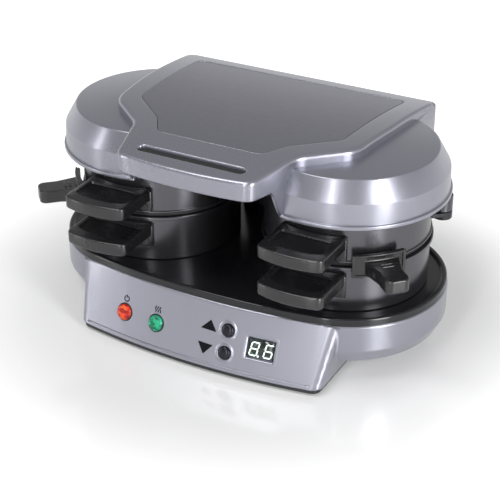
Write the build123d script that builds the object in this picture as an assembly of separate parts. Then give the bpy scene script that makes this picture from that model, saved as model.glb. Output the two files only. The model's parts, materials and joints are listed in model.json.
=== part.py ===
from build123d import *
import math
import os

os.makedirs("parts", exist_ok=True)

# Breakfast sandwich maker with two cooking stations, in millimetres.
# X runs to the right, Y to the back, Z up.  Z = 0 is the surface it stands on.
# Every piece is drawn about the line between the two station centres and is
# shifted by STATION_Y when it is written, so that the origin lies under the
# middle of the whole appliance.

# ---------------------------------------------------------------- plan sizes
STATION_X = 86.0            # each station centre, to the side of the middle
RIM_R = 82.6                # silver rim round each station
BOW_DEPTH = 7.4             # bowed front of the rim, ahead of the two rim circles
BASE_BACK = 108.0           # rear of the base behind the station line
BASE_BACK_HALF = 62.0       # half width of the rear bay of the base
BASE_BACK_CORNER = 14.0     # corner radius of the rear bay
WALL = 2.6                  # moulded wall of the housing and the lid
SEAT_GAP = 0.3              # clearance where one piece sits inside another

# ------------------------------------------------------------- base, heights
FOOT_H = 2.5                # rubber feet
COVER_TOP = 5.8             # top of the black bottom cover
WING_BOTTOM = 21.6          # underside of the round wings
WING_EDGE = 33.0            # crease above the chamfered wing skirt
RIM_Z = 56.0                # top edge of the silver housing
WING_UNDERCUT = 6.0         # how far the skirt draws in
PANEL_RUN = 18.0            # foot of the slanted panel, ahead of the rim
PANEL_BOTTOM_HALF = 110.5   # half width of the pedestal at its foot
PANEL_FLARE = 7.0           # the pedestal is this much wider each side at the rim
PEDESTAL_BACK = 78.0        # rear of the pedestal
PEDESTAL_CORNER = 9.0       # corner radius of the pedestal
RIM_STEP = 0.5              # rim edge stands this far proud of the panel
COVER_INSET = 1.6           # black cover draws in from the silver edge

# ---------------------------------------------------------------------- deck
DECK_RISE = 4.0             # black deck above the silver rim
LIP_H = 2.5                 # raised lip above the deck
LIP_INSET = 0.9             # lip draws in from the silver rim
LIP_W = 5.0                 # width of the lip
LIP_ROUND = 1.9             # rounding of the lip
SKIRT_DROP = 6.0            # locating skirt under the deck
SKIRT_W = 2.0               # thickness of that skirt
POST_R = 4.6                # screw posts under the deck
POST_X = 28.0
POST_Y = 62.0
SCREW_R = 1.7               # shank of the housing screws
SCREW_HEAD_R = 3.2
SCREW_HEAD_H = 2.2
SCREW_BITE = 14.0           # thread length inside a post

# ------------------------------------------------------------- heating plates
PLATE_R = 62.0              # heating plate
PLATE_PROUD = 0.3           # lower plate above the deck
PLATE_T = 7.3               # thickness of a heating plate
PLATE_DISH_R = 52.5         # dished middle of the plate
PLATE_DISH = 1.0
LEDGE_IN_R = 57.0           # ledge that carries the lower plate
LEDGE_T = 2.5
WELL_WALL = 3.0             # wall round a heating plate
ELEMENT_R = 42.0            # centre line of the tubular element
ELEMENT_ROD_R = 3.2
ELEMENT_SWEEP = 325.0       # degrees of the ring that the element covers
TERMINAL_R = 1.6
TERMINAL_L = 9.0

# --------------------------------------------------------------------- rings
RING_OUT_R = 66.0           # outside of the cooking rings
RING_IN_R = 54.0            # inside of the well
RING_WALL = 2.6
BEAD_OUT = 2.4              # bead round the seam between the rings
BEAD_H = 3.0
RING_LIFT = 0.6             # bottom ring above the deck
BOTTOM_RING_H = 39.4
COOK_PLATE_T = 3.0
COOK_PLATE_SET_IN = 0.5     # its rim ends just inside the ring wall
COOK_PLATE_R = RING_OUT_R - COOK_PLATE_SET_IN
PLATE_GAP = 0.3             # play above and below the sliding cooking plate
TOP_RING_H = 30.4

# -------------------------------------------------------------- ring handles
GRIP_HALF = 27.5            # half width at the front of a ring handle
GRIP_CORNER_FRONT = 104.0   # front corners ahead of the station centre
GRIP_FRONT = 108.5          # bowed middle of the front
GRIP_T = 10.8               # thickness of the grip
GRIP_ROUND = 4.0            # plan rounding of the front corners
GRIP_BEVEL = 0.9
BRACKET_ANGLE = 24.4        # half angle of the bracket round the ring
BRACKET_T = 3.6
BRACKET_H = 18.4
LOWER_GRIP_DROP = 5.6       # grip tops below the tops of their rings
UPPER_GRIP_DROP = 8.2
BRACKET_DROP = 1.6          # bracket top below the grip top
GRIP_POCKET = 1.4           # shallow pocket in the top of the grip
GRIP_BAR = 10.0             # plain bar left ahead of the pocket
GRIP_SIDE = 4.0             # plain border beside the pocket
RIVET_R = 2.2
RIVET_HEAD_R = 3.6
RIVET_HEAD_H = 1.0
RIVET_ANGLE = 19.0

# -------------------------------------------------------------- plate handles
PADDLE_ANGLE = 46.0         # direction of the paddle from the front
PADDLE_LENGTH = 35.9        # from the shield to the tip
PADDLE_HALF = 9.6           # half width at the tip
PADDLE_ROOT_HALF = 15.5     # half width at the bracket
PADDLE_TIP_ROUND = 5.4      # plan rounding of the tip
PADDLE_RISE = 4.1           # paddle top above the cooking plate
PADDLE_T = 11.0
SHIELD_ANGLE = 44.4         # middle of the curved shield, degrees from front
SHIELD_SPAN = 34.0          # degrees of the ring that it covers
SHIELD_T = 3.2
SHIELD_DROP = 6.3           # shield below the cooking plate
SHIELD_H = 19.0
SHIELD_CLEAR = 1.2          # inside of the shield, clear of the bead
SHIELD_IN_R = RING_OUT_R + BEAD_OUT + SHIELD_CLEAR
PADDLE_REACH = SHIELD_IN_R + PADDLE_LENGTH
TONGUE_HALF = 11.0          # tongue of the cooking plate inside the paddle
TONGUE_GRIP = 14.4          # how far the tongue runs into the paddle
TONGUE_REACH = SHIELD_IN_R + TONGUE_GRIP
PIVOT_ANGLE = 135.0         # pivot of the cooking plate, degrees from front
PIVOT_OUTSET = 16.0         # pivot outside the ring wall
PIVOT_REACH = RING_OUT_R + PIVOT_OUTSET
PIVOT_PIN_R = 2.5
PIVOT_FIT = 0.06            # running clearance, radial
PIVOT_BOSS_R = 8.0
PIVOT_BOSS_H = 13.1         # ear of the top ring
PIVOT_HUB_DROP = 3.6
PIVOT_HEAD_R = 4.6
PIVOT_HEAD_H = 1.4
PIVOT_RAISE = 0.6           # ear of the top ring above the plate

# --------------------------------------------------------------------- hinge
AXIS_Y = 92.0               # common rear hinge line
AXIS_RISE = 14.4            # hinge line above the foot of the top ring
SHAFT_R = 3.5
SHAFT_FIT = 0.06            # running clearance, radial
KNUCKLE_R = 7.2
TOWER_HALF = 46.0
TOWER_TOP_R = 12.5
TOWER_FRONT = 68.0
TOWER_BACK = 100.0
LID_ARM_X0 = 49.5
LID_ARM_X1 = 60.5
TOP_KNUCKLE_HALF = 9.0
FORK_IN = 12.0
FORK_OUT = 21.0
CLIP_T = 1.2
CLIP_R = 6.0
CLIP_EDGE = 1.5             # shaft left outside the clip
CLIP_PLAY = 2.3             # between the outer fork arm and the clip

# ----------------------------------------------------------------------- lid
LID_GAP = 4.0               # lowest edge of the lid above the top ring
LID_FLANGE_R = 80.6
LID_FLANGE_H = 3.0
LID_BAND_R0 = 79.0          # foot of the upright band
LID_BAND_R1 = 78.2          # crease between the two bands
LID_BAND_FOOT = 4.2         # heights above the lowest edge of the lid
LID_BAND_H = 20.5
LID_CREST_R = 69.0          # upper crease of the round ends
LID_CREST_H = 36.5
LID_DOME_R = 30.0
LID_DOME_RISE = 2.5
LID_CREASE_X = 64.2         # inner end of each round end, beside the handle
LID_NECK_R = 69.5           # wall round the plate, behind that end
LID_WAIST = 52.0            # front of the lid body between the round ends
LID_BACK_HALF = 117.0       # half width of the back wall
LID_BACK = 104.0            # back wall behind the station line
LID_BACK_CORNER = 6.0
BRIDGE_FRONT = 114.5        # front of the handle, at its middle
BRIDGE_FRONT_CORNER = 110.0
BRIDGE_FRONT_HALF = 57.5
BRIDGE_CORNER = 10.0        # plan rounding of its corners
BRIDGE_NECK_X = 71.0        # inward corner beside the handle
BRIDGE_NECK_Y = -64.0
BRIDGE_SHOULDER_X = 107.5   # outward corner over the station
BRIDGE_SHOULDER_Y = -33.0
BRIDGE_BACK = 101.0
HANDLE_DEPTH = 23.0         # underside of the handle below the crown
ARCH_RISE = 10.5            # crown of the arched bridge above the round ends
ARCH_Y = -12.0              # crown position
ARCH_R = 700.0
FIN_FRONT = -88.0           # the handle's side wall runs down behind this
FIN_BACK = -74.0
INSET_FRONT = -70.5         # dark inset panel on the bridge
INSET_FRONT_HALF = 45.0
INSET_NECK_X = 57.0
INSET_NECK_Y = -51.0
INSET_SHOULDER_X = 90.0
INSET_SHOULDER_Y = -23.0
INSET_BACK_HALF = 97.0
INSET_BACK = 84.0
INSET_T = 1.6
INSET_RECESS = 0.6
BRIDGE_SKIN = 4.4           # bridge skin, thick enough for the inset
GROOVE_HALF = 46.0          # grip groove along the handle
GROOVE_W = 8.4
GROOVE_Y = -97.0
GROOVE_DEPTH = 3.0
LINER_T = 2.6               # black pan that closes the lid
LINER_RISE = 3.2            # its upper face above the lowest edge of the lid
UPPER_PLATE_GAP = 0.4       # upper plate above the closed top ring
LID_SCREW_X = 14.0
LID_SCREW_Y = 40.0
LID_SCREW_RISE = 12.0

# ------------------------------------------------------------------ controls
PANEL_MID_Z = 30.0
LENS_R = 6.6
LENS_X_RED = -65.9
LENS_Z_RED = 27.4
LENS_X_GREEN = -34.6
LENS_Z_GREEN = 27.4
LENS_PROUD = 3.0
LENS_DOME = 2.4             # rounding of the lens
LENS_FLANGE = 1.2
LENS_FLANGE_T = 1.2
BUTTON_R = 5.9
BUTTON_X = 29.9
UP_BUTTON_Z = 37.7
DOWN_BUTTON_Z = 20.4
BUTTON_PROUD = 3.0
BUTTON_TRAVEL = 1.5
BUTTON_GAP = 0.35
BUTTON_FLANGE = 1.3
BUTTON_FLANGE_T = 1.2
BUTTON_STEM_R = 2.4
WINDOW_X = 58.6
WINDOW_Z = 29.2
WINDOW_W = 25.6
WINDOW_H = 18.8
WINDOW_T = 2.4
WINDOW_RIM = 1.4
BOARD_T = 1.6
BOARD_BACK = 17.0           # board behind the middle of the panel
BOARD_HALF_LEFT = 82.0
BOARD_RIGHT = 76.0
BOARD_H = 33.0
SWITCH_SIDE = 6.2
SWITCH_H = 3.6
SWITCH_TIP_R = 1.7
SWITCH_TIP_H = 0.9
SWITCH_GAP = 0.2
LAMP_R = 2.5
LAMP_DOME = 2.0
DISPLAY_CASE_W = 25.0
DISPLAY_CASE_H = 19.0
BUZZER_R = 5.0
BUZZER_H = 6.5

# ------------------------------------------------------- parts inside the base
THERMOSTAT_R = 9.0
THERMOSTAT_H = 8.0
THERMOSTAT_CAP_R = 6.3
THERMOSTAT_CAP_H = 3.2
FUSE_R = 2.4
FUSE_L = 14.0
TERMINAL_BLOCK = (46.0, 15.0, 14.0)
TERMINAL_BLOCK_Y = 40.0
TERMINAL_WAYS = 4
GLAND_X = 36.0
GLAND_Z = 34.0
GLAND_R = 5.6
GLAND_FLANGE_R = 7.9
GLAND_FLANGE_T = 2.4
GLAND_BORE_R = 3.2
FOOT_R = 9.0
FRONT_FOOT_X = 88.0
FRONT_FOOT_Y = 84.0
BACK_FOOT_X = 46.0
BACK_FOOT_Y = 92.0
VENT_W = 3.0
VENT_L = 34.0
VENT_PITCH = 8.0
VENT_COUNT = 6

# The whole appliance is centred front to back over the origin.
STATION_Y = (BRIDGE_FRONT - BASE_BACK - GLAND_FLANGE_T) / 2
BASE_FRONT = RIM_R + BOW_DEPTH
PANEL_BOTTOM_FRONT = BASE_FRONT + PANEL_RUN
PANEL_TOP_HALF = PANEL_BOTTOM_HALF + PANEL_FLARE
PANEL_SLOPE = math.atan2(PANEL_RUN, RIM_Z - COVER_TOP)
DECK_Z = RIM_Z + DECK_RISE
LIP_Z = DECK_Z + LIP_H
LOWER_PLATE_TOP = DECK_Z + PLATE_PROUD
LOWER_PLATE_Z0 = LOWER_PLATE_TOP - PLATE_T
BOTTOM_RING_Z0 = DECK_Z + RING_LIFT
BOTTOM_RING_Z1 = BOTTOM_RING_Z0 + BOTTOM_RING_H
COOK_PLATE_Z0 = BOTTOM_RING_Z1 + PLATE_GAP
COOK_PLATE_Z1 = COOK_PLATE_Z0 + COOK_PLATE_T
TOP_RING_Z0 = COOK_PLATE_Z1 + PLATE_GAP
TOP_RING_Z1 = TOP_RING_Z0 + TOP_RING_H
UPPER_PLATE_Z0 = TOP_RING_Z1 + UPPER_PLATE_GAP
LOWER_GRIP_TOP = BOTTOM_RING_Z1 - LOWER_GRIP_DROP
UPPER_GRIP_TOP = TOP_RING_Z1 - UPPER_GRIP_DROP
PADDLE_TOP = COOK_PLATE_Z1 + PADDLE_RISE
SHIELD_Z0 = COOK_PLATE_Z0 - SHIELD_DROP
SHIELD_Z1 = SHIELD_Z0 + SHIELD_H
PIVOT_BOSS_TOP = COOK_PLATE_Z1 + PIVOT_RAISE + PIVOT_BOSS_H
AXIS_Z = TOP_RING_Z0 + AXIS_RISE
SHAFT_HALF = STATION_X + FORK_OUT + CLIP_PLAY + CLIP_T + CLIP_EDGE
LID_Z0 = TOP_RING_Z1 + LID_GAP
LID_CREST_Z = LID_Z0 + LID_CREST_H
LINER_Z0 = LID_Z0 + LINER_RISE
ARCH_TOP = LID_CREST_Z + ARCH_RISE
BRIDGE_BOTTOM = ARCH_TOP - HANDLE_DEPTH
BIG = 400.0                 # reach of cutting bodies beyond the appliance
SLIVER = 0.01               # allowance when an edge is picked by its height


# ------------------------------------------------------------------- helpers
def disc(radius, z0, z1, x=0.0, y=0.0):
    return Pos(x, y, (z0 + z1) / 2) * Cylinder(radius, z1 - z0)


def tube(outer, inner, z0, z1, x=0.0, y=0.0):
    return disc(outer, z0, z1, x, y) - disc(inner, z0, z1, x, y)


def block(x0, x1, y0, y1, z0, z1):
    middle = Pos((x0 + x1) / 2, (y0 + y1) / 2, (z0 + z1) / 2)
    return middle * Box(x1 - x0, y1 - y0, z1 - z0)


def slab(plan, z0, z1):
    return Pos(0, 0, z0) * extrude(plan, amount=z1 - z0)


def rod_x(radius, x0, x1, y, z):
    return Pos((x0 + x1) / 2, y, z) * Rot(0, 90, 0) * Cylinder(radius, x1 - x0)


def polar(reach, degrees):
    """Point at an angle from the front, swinging outwards, about a station."""
    angle = math.radians(degrees)
    return reach * math.sin(angle), -reach * math.cos(angle)


def on_station(shape):
    return Pos(STATION_X, 0, 0) * shape


def flipped(shape):
    return mirror(shape, about=Plane.YZ)


def write(name, *solids):
    placed = [Pos(0, STATION_Y, 0) * solid for solid in solids]
    shape = placed[0] if len(placed) == 1 else Compound(children=placed)
    export_step(shape, f"parts/{name}.step")


def write_pair(name, shape):
    """A piece of the right station, and its mirror image on the left."""
    write(f"{name}_right", shape)
    write(f"{name}_left", flipped(shape))


# --------------------------------------------------------------- base outlines
def bow_radius(inset=0.0):
    """Radius of the front bow that runs tangent into both rim circles."""
    reach = BASE_FRONT - inset
    rim = RIM_R - inset
    return (STATION_X**2 + reach**2 - rim**2) / (2 * (reach - rim))


def bow_set_back(x):
    """How far the bowed front falls back at a distance from the middle."""
    radius = bow_radius()
    return radius - math.sqrt(radius**2 - x**2)


def base_plan(inset):
    reach = BASE_FRONT - inset
    rim = RIM_R - inset
    radius = bow_radius(inset)
    centre_y = radius - reach
    span = math.hypot(STATION_X, centre_y)
    tangent_x = radius * STATION_X / span
    tangent_y = centre_y - radius * centre_y / span
    front = ThreePointArc((-tangent_x, tangent_y), (0, -reach), (tangent_x, tangent_y))
    sides = Polyline(
        (tangent_x, tangent_y),
        (STATION_X, rim),
        (-STATION_X, rim),
        (-tangent_x, tangent_y),
    )
    plan = make_face(front + sides)
    plan += Pos(STATION_X, 0) * Circle(rim)
    plan += Pos(-STATION_X, 0) * Circle(rim)
    return plan + bay_plan(inset)


def bay_plan(inset):
    """Rear bay under the hinge tower."""
    back = BASE_BACK - inset
    half = BASE_BACK_HALF - inset
    corner = BASE_BACK_CORNER - inset
    return Pos(0, back / 2) * RectangleRounded(2 * half, back, corner)


def bay(inset):
    return slab(bay_plan(inset), COVER_TOP, RIM_Z)


def pedestal_plan(half, front, back, corner):
    corner_y = -front + bow_set_back(half)
    bow = ThreePointArc((-half, corner_y), (0, -front), (half, corner_y))
    rest = Polyline((half, corner_y), (half, back), (-half, back), (-half, corner_y))
    plan = make_face(bow + rest)
    return fillet(plan.vertices(), corner)


def pedestal(inset):
    """Slanted pedestal that carries the control panel."""
    corner = PEDESTAL_CORNER - inset
    foot = pedestal_plan(
        PANEL_BOTTOM_HALF - inset, PANEL_BOTTOM_FRONT - inset, PEDESTAL_BACK - inset, corner
    )
    top = pedestal_plan(
        PANEL_TOP_HALF - inset, BASE_FRONT - RIM_STEP - inset, PEDESTAL_BACK - inset, corner
    )
    return loft([Pos(0, 0, COVER_TOP) * foot, Pos(0, 0, RIM_Z) * top], ruled=True)


def wings(inset):
    """Round wings under the rim, with their drawn-in skirt."""
    floor = WING_BOTTOM + inset
    skirt = loft(
        [
            Pos(0, 0, floor) * base_plan(WING_UNDERCUT + inset),
            Pos(0, 0, WING_EDGE) * base_plan(inset),
        ],
        ruled=True,
    )
    return skirt + slab(base_plan(inset), WING_EDGE, RIM_Z)


# ------------------------------------------------------------ control panel frame
def panel_point(x, z):
    """Point on the outside of the slanted, bowed panel."""
    rise = (z - COVER_TOP) / (RIM_Z - COVER_TOP)
    top_front = BASE_FRONT - RIM_STEP
    front = PANEL_BOTTOM_FRONT + (top_front - PANEL_BOTTOM_FRONT) * rise
    return x, -front + bow_set_back(x), z


def on_panel(x, z):
    """Frame on the panel: local Z points out of it, local X to the right."""
    slope = PANEL_SLOPE
    normal = (0, -math.cos(slope), math.sin(slope))
    return Plane(origin=panel_point(x, z), x_dir=(1, 0, 0), z_dir=normal)


def panel_rod(x, z, radius, w0, w1):
    """Cylinder square to the panel, between two distances out of it."""
    return on_panel(x, z) * Pos(0, 0, (w0 + w1) / 2) * Cylinder(radius, w1 - w0)


def panel_box(x, z, width, height, w0, w1):
    return on_panel(x, z) * Pos(0, 0, (w0 + w1) / 2) * Box(width, height, w1 - w0)


def board_depth(x, z):
    """Distance of the board's face behind the panel surface at a place."""
    here = Vector(*panel_point(x, z))
    board = on_panel(0, PANEL_MID_Z)
    return board.to_local_coords(here).Z + BOARD_BACK


# ---------------------------------------------------------------- base housing
def make_base_housing():
    housing = wings(0) + pedestal(0) + bay(0)
    housing -= wings(WALL)
    housing -= pedestal(WALL)
    housing -= bay(WALL)
    for x, z in ((LENS_X_RED, LENS_Z_RED), (LENS_X_GREEN, LENS_Z_GREEN)):
        housing -= panel_rod(x, z, LENS_R + SEAT_GAP / 2, -3 * WALL, 3 * WALL)
    for z in (UP_BUTTON_Z, DOWN_BUTTON_Z):
        housing -= panel_rod(BUTTON_X, z, BUTTON_R + BUTTON_GAP, -3 * WALL, 3 * WALL)
    housing -= panel_box(WINDOW_X, WINDOW_Z, WINDOW_W, WINDOW_H, -3 * WALL, 3 * WALL)
    gland_hole = Pos(GLAND_X, BASE_BACK - WALL, GLAND_Z) * Rot(90, 0, 0)
    housing -= gland_hole * Cylinder(GLAND_R, 4 * WALL)
    return housing


def make_bottom_cover():
    """Black moulded floor with an upstand inside the pedestal."""
    outline = pedestal_plan(
        PANEL_BOTTOM_HALF - COVER_INSET,
        PANEL_BOTTOM_FRONT - COVER_INSET,
        PEDESTAL_BACK - COVER_INSET,
        PEDESTAL_CORNER - COVER_INSET,
    )
    cover = slab(outline + bay_plan(COVER_INSET), FOOT_H, COVER_TOP)
    for column in range(VENT_COUNT):
        x = (column - (VENT_COUNT - 1) / 2) * VENT_PITCH
        cover -= block(x - VENT_W / 2, x + VENT_W / 2, -VENT_L / 2, VENT_L / 2, 0, COVER_TOP)
    for x, y in post_places():
        cover -= disc(SCREW_R + SEAT_GAP, FOOT_H, COVER_TOP, x, y)
        cover -= disc(SCREW_HEAD_R + SEAT_GAP, FOOT_H, FOOT_H + SCREW_HEAD_H, x, y)
    return cover


def post_places():
    return [(x, y) for x in (-POST_X, POST_X) for y in (-POST_Y, POST_Y)]


def make_feet():
    places = [(side * FRONT_FOOT_X, -FRONT_FOOT_Y) for side in (-1, 1)]
    places += [(side * BACK_FOOT_X, BACK_FOOT_Y) for side in (-1, 1)]
    return [disc(FOOT_R, 0, FOOT_H, x, y) for x, y in places]


def make_cover_screws():
    screws = []
    for x, y in post_places():
        head = disc(SCREW_HEAD_R, FOOT_H, FOOT_H + SCREW_HEAD_H, x, y)
        head -= disc(SCREW_R / 2, FOOT_H, FOOT_H + SCREW_HEAD_H / 2, x, y)
        shank = disc(SCREW_R, FOOT_H + SCREW_HEAD_H, COVER_TOP + SCREW_BITE, x, y)
        screws.append(head + shank)
    return screws


def make_cord_gland():
    """Rubber bush round the mains inlet in the rear wall."""
    face = BASE_BACK
    collar = GLAND_R - SEAT_GAP
    bush = Rot(90, 0, 0) * Cylinder(collar, WALL + 2 * GLAND_FLANGE_T)
    outer = Pos(0, (WALL + GLAND_FLANGE_T) / 2, 0) * Rot(90, 0, 0)
    inner = Pos(0, -(WALL + GLAND_FLANGE_T) / 2, 0) * Rot(90, 0, 0)
    bush += outer * Cylinder(GLAND_FLANGE_R, GLAND_FLANGE_T)
    bush += inner * Cylinder(GLAND_FLANGE_R, GLAND_FLANGE_T)
    bush -= Rot(90, 0, 0) * Cylinder(GLAND_BORE_R, BIG)
    return Pos(GLAND_X, face - WALL / 2, GLAND_Z) * bush


# ------------------------------------------------------------------------ deck
def make_deck_tray():
    """Black deck with its raised lip, the two heater wells and screw posts."""
    inner_lip = LIP_INSET + LIP_W
    lip = slab(base_plan(LIP_INSET) - base_plan(inner_lip), RIM_Z, LIP_Z)
    crest = lip.edges().filter_by_position(Axis.Z, LIP_Z - SLIVER, LIP_Z + SLIVER)
    lip = fillet(crest, LIP_ROUND)
    deck = lip + slab(base_plan(LIP_INSET + LIP_W / 2), RIM_Z, DECK_Z)
    skirt_out = WALL + SEAT_GAP
    skirt = base_plan(skirt_out) - base_plan(skirt_out + SKIRT_W)
    deck += slab(skirt, RIM_Z - SKIRT_DROP, RIM_Z)
    well_r = PLATE_R + SEAT_GAP
    ledge_z0 = LOWER_PLATE_Z0 - LEDGE_T
    for x in (-STATION_X, STATION_X):
        deck += disc(well_r + WELL_WALL, ledge_z0, DECK_Z, x)
        deck -= disc(well_r, LOWER_PLATE_Z0, DECK_Z, x)
        deck -= disc(LEDGE_IN_R, ledge_z0, LOWER_PLATE_Z0, x)
    for x, y in post_places():
        deck += disc(POST_R, COVER_TOP, RIM_Z, x, y)
        deck -= disc(SCREW_R, COVER_TOP, COVER_TOP + SCREW_BITE, x, y)
    return deck


def make_heating_plate(z0, dish_up):
    """Cast plate, dished on its working face."""
    plate = disc(PLATE_R, z0, z0 + PLATE_T)
    if dish_up:
        plate -= disc(PLATE_DISH_R, z0 + PLATE_T - PLATE_DISH, z0 + PLATE_T)
    else:
        plate -= disc(PLATE_DISH_R, z0, z0 + PLATE_DISH)
    return on_station(plate)


def make_element(contact_z, side):
    """Tubular heater that lies on a plate; side is -1 below it and 1 above."""
    z = contact_z + side * ELEMENT_ROD_R
    section = Plane.XZ * Pos(ELEMENT_R, z) * Circle(ELEMENT_ROD_R)
    rod = revolve(section, Axis.Z, ELEMENT_SWEEP)
    far = z + side * TERMINAL_L
    for degrees in (TERMINAL_R, ELEMENT_SWEEP - TERMINAL_R):
        angle = math.radians(degrees)
        x = ELEMENT_R * math.cos(angle)
        y = ELEMENT_R * math.sin(angle)
        rod += disc(TERMINAL_R, min(z, far), max(z, far), x, y)
    return on_station(rod)


# ------------------------------------------------------------------- rear hinge
def side_profile(face, x0, x1):
    """Solid from an outline in Y and Z, between two places along X."""
    return Pos(x0, 0, 0) * extrude(Plane.YZ * face, amount=x1 - x0)


def make_hinge_tower():
    """Black tower that stands on the deck and holds the hinge shaft."""
    foot = Polyline(
        (TOWER_FRONT, DECK_Z),
        (TOWER_BACK, DECK_Z),
        (AXIS_Y + TOWER_TOP_R, AXIS_Z),
        (AXIS_Y - TOWER_TOP_R, AXIS_Z),
        (TOWER_FRONT, DECK_Z),
    )
    profile = make_face(foot) + Pos(AXIS_Y, AXIS_Z) * Circle(TOWER_TOP_R)
    tower = side_profile(profile, -TOWER_HALF, TOWER_HALF)
    return tower - rod_x(SHAFT_R + SHAFT_FIT, -BIG, BIG, AXIS_Y, AXIS_Z)


def make_hinge_shaft():
    shaft = rod_x(SHAFT_R, -SHAFT_HALF, SHAFT_HALF, AXIS_Y, AXIS_Z)
    for side in (-1, 1):
        middle = side * (SHAFT_HALF - CLIP_EDGE - CLIP_T / 2)
        near = middle - CLIP_T / 2
        far = middle + CLIP_T / 2
        groove = rod_x(SHAFT_R, near, far, AXIS_Y, AXIS_Z)
        shaft -= groove - rod_x(SHAFT_R - CLIP_T / 2, near, far, AXIS_Y, AXIS_Z)
    return shaft


def make_shaft_clips():
    clips = []
    for side in (-1, 1):
        middle = side * (SHAFT_HALF - CLIP_EDGE - CLIP_T / 2)
        near = middle - CLIP_T / 2
        far = middle + CLIP_T / 2
        clip = rod_x(CLIP_R, near, far, AXIS_Y, AXIS_Z)
        clip -= rod_x(SHAFT_R - CLIP_T / 2, near, far, AXIS_Y, AXIS_Z)
        clips.append(clip)
    return clips


def shaft_bore():
    return rod_x(SHAFT_R + SHAFT_FIT, -BIG, BIG, AXIS_Y, AXIS_Z)


# ----------------------------------------------------------------------- rings
def ring_casting(z0, z1):
    """Two thin walls joined by a web on top, open below."""
    casting = tube(RING_OUT_R, RING_OUT_R - RING_WALL, z0, z1)
    casting += tube(RING_IN_R + RING_WALL, RING_IN_R, z0, z1)
    casting += tube(RING_OUT_R, RING_IN_R, z1 - RING_WALL, z1)
    return casting


def make_top_ring():
    ring = ring_casting(TOP_RING_Z0, TOP_RING_Z1)
    bead_r = RING_OUT_R + BEAD_OUT / 2
    ring += tube(bead_r, RING_OUT_R - RING_WALL, TOP_RING_Z0, TOP_RING_Z0 + BEAD_H / 2)
    arm = block(
        -TOP_KNUCKLE_HALF, TOP_KNUCKLE_HALF, RING_IN_R, AXIS_Y,
        AXIS_Z - KNUCKLE_R, AXIS_Z + KNUCKLE_R,
    )
    arm -= disc(RING_OUT_R - RING_WALL / 2, 0, BIG)
    ring += arm
    ring += rod_x(KNUCKLE_R, -TOP_KNUCKLE_HALF, TOP_KNUCKLE_HALF, AXIS_Y, AXIS_Z)
    pivot_x, pivot_y = polar(PIVOT_REACH, PIVOT_ANGLE)
    ear_z0 = COOK_PLATE_Z1 + PIVOT_RAISE
    ear = disc(PIVOT_BOSS_R, ear_z0, PIVOT_BOSS_TOP, pivot_x, pivot_y)
    web_reach = (RING_OUT_R + PIVOT_REACH) / 2
    web_x, web_y = polar(web_reach - RING_WALL, PIVOT_ANGLE)
    web_l = PIVOT_REACH - RING_OUT_R + 2 * RING_WALL
    web = Box(PIVOT_BOSS_R, web_l, PIVOT_BOSS_TOP - ear_z0)
    ear += Pos(web_x, web_y, (ear_z0 + PIVOT_BOSS_TOP) / 2) * Rot(0, 0, PIVOT_ANGLE) * web
    ear -= disc(RING_OUT_R - RING_WALL / 2, 0, BIG)
    ear -= disc(PIVOT_PIN_R, 0, PIVOT_BOSS_TOP - RING_WALL, pivot_x, pivot_y)
    return on_station(ring + ear) - shaft_bore()


def make_bottom_ring():
    ring = ring_casting(BOTTOM_RING_Z0, BOTTOM_RING_Z1)
    bead_r = RING_OUT_R + BEAD_OUT
    ring += tube(bead_r, RING_OUT_R - RING_WALL, BOTTOM_RING_Z1 - BEAD_H, BOTTOM_RING_Z1)
    arm_low = BOTTOM_RING_Z0 + (BOTTOM_RING_Z1 - BOTTOM_RING_Z0) / 3
    arm_top = BOTTOM_RING_Z1 - BEAD_H
    outline = Polyline(
        (RING_IN_R, arm_low),
        (AXIS_Y, arm_top - 2 * KNUCKLE_R),
        (AXIS_Y + KNUCKLE_R, AXIS_Z),
        (AXIS_Y - KNUCKLE_R, AXIS_Z),
        (RING_OUT_R + KNUCKLE_R, arm_top),
        (RING_IN_R, arm_top),
        (RING_IN_R, arm_low),
    )
    profile = make_face(outline) + Pos(AXIS_Y, AXIS_Z) * Circle(KNUCKLE_R)
    for side in (-1, 1):
        near = min(side * FORK_IN, side * FORK_OUT)
        far = max(side * FORK_IN, side * FORK_OUT)
        arm = side_profile(profile, near, far)
        ring += arm - disc(RING_OUT_R - RING_WALL / 2, 0, BIG)
    return on_station(ring) - shaft_bore()


def bracket_wedge(half_angle, z0, z1, middle=0.0):
    """Pie slice about a station centre, for cutting curved brackets."""
    reach = BIG / 2
    first = polar(reach, middle - half_angle)
    last = polar(reach, middle + half_angle)
    crown = polar(reach * 2, middle)
    return slab(make_face(Polyline((0, 0), first, crown, last, (0, 0))), z0, z1)


def grip_plan():
    side_y = -RING_OUT_R * math.cos(math.radians(BRACKET_ANGLE))
    side_x = RING_OUT_R * math.sin(math.radians(BRACKET_ANGLE))
    front = ThreePointArc(
        (-GRIP_HALF, -GRIP_CORNER_FRONT), (0, -GRIP_FRONT), (GRIP_HALF, -GRIP_CORNER_FRONT)
    )
    rest = Polyline(
        (GRIP_HALF, -GRIP_CORNER_FRONT),
        (side_x, side_y),
        (-side_x, side_y),
        (-GRIP_HALF, -GRIP_CORNER_FRONT),
    )
    plan = make_face(front + rest)
    corners = plan.vertices().sort_by(Axis.Y)[:2]
    return fillet(corners, GRIP_ROUND)


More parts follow.
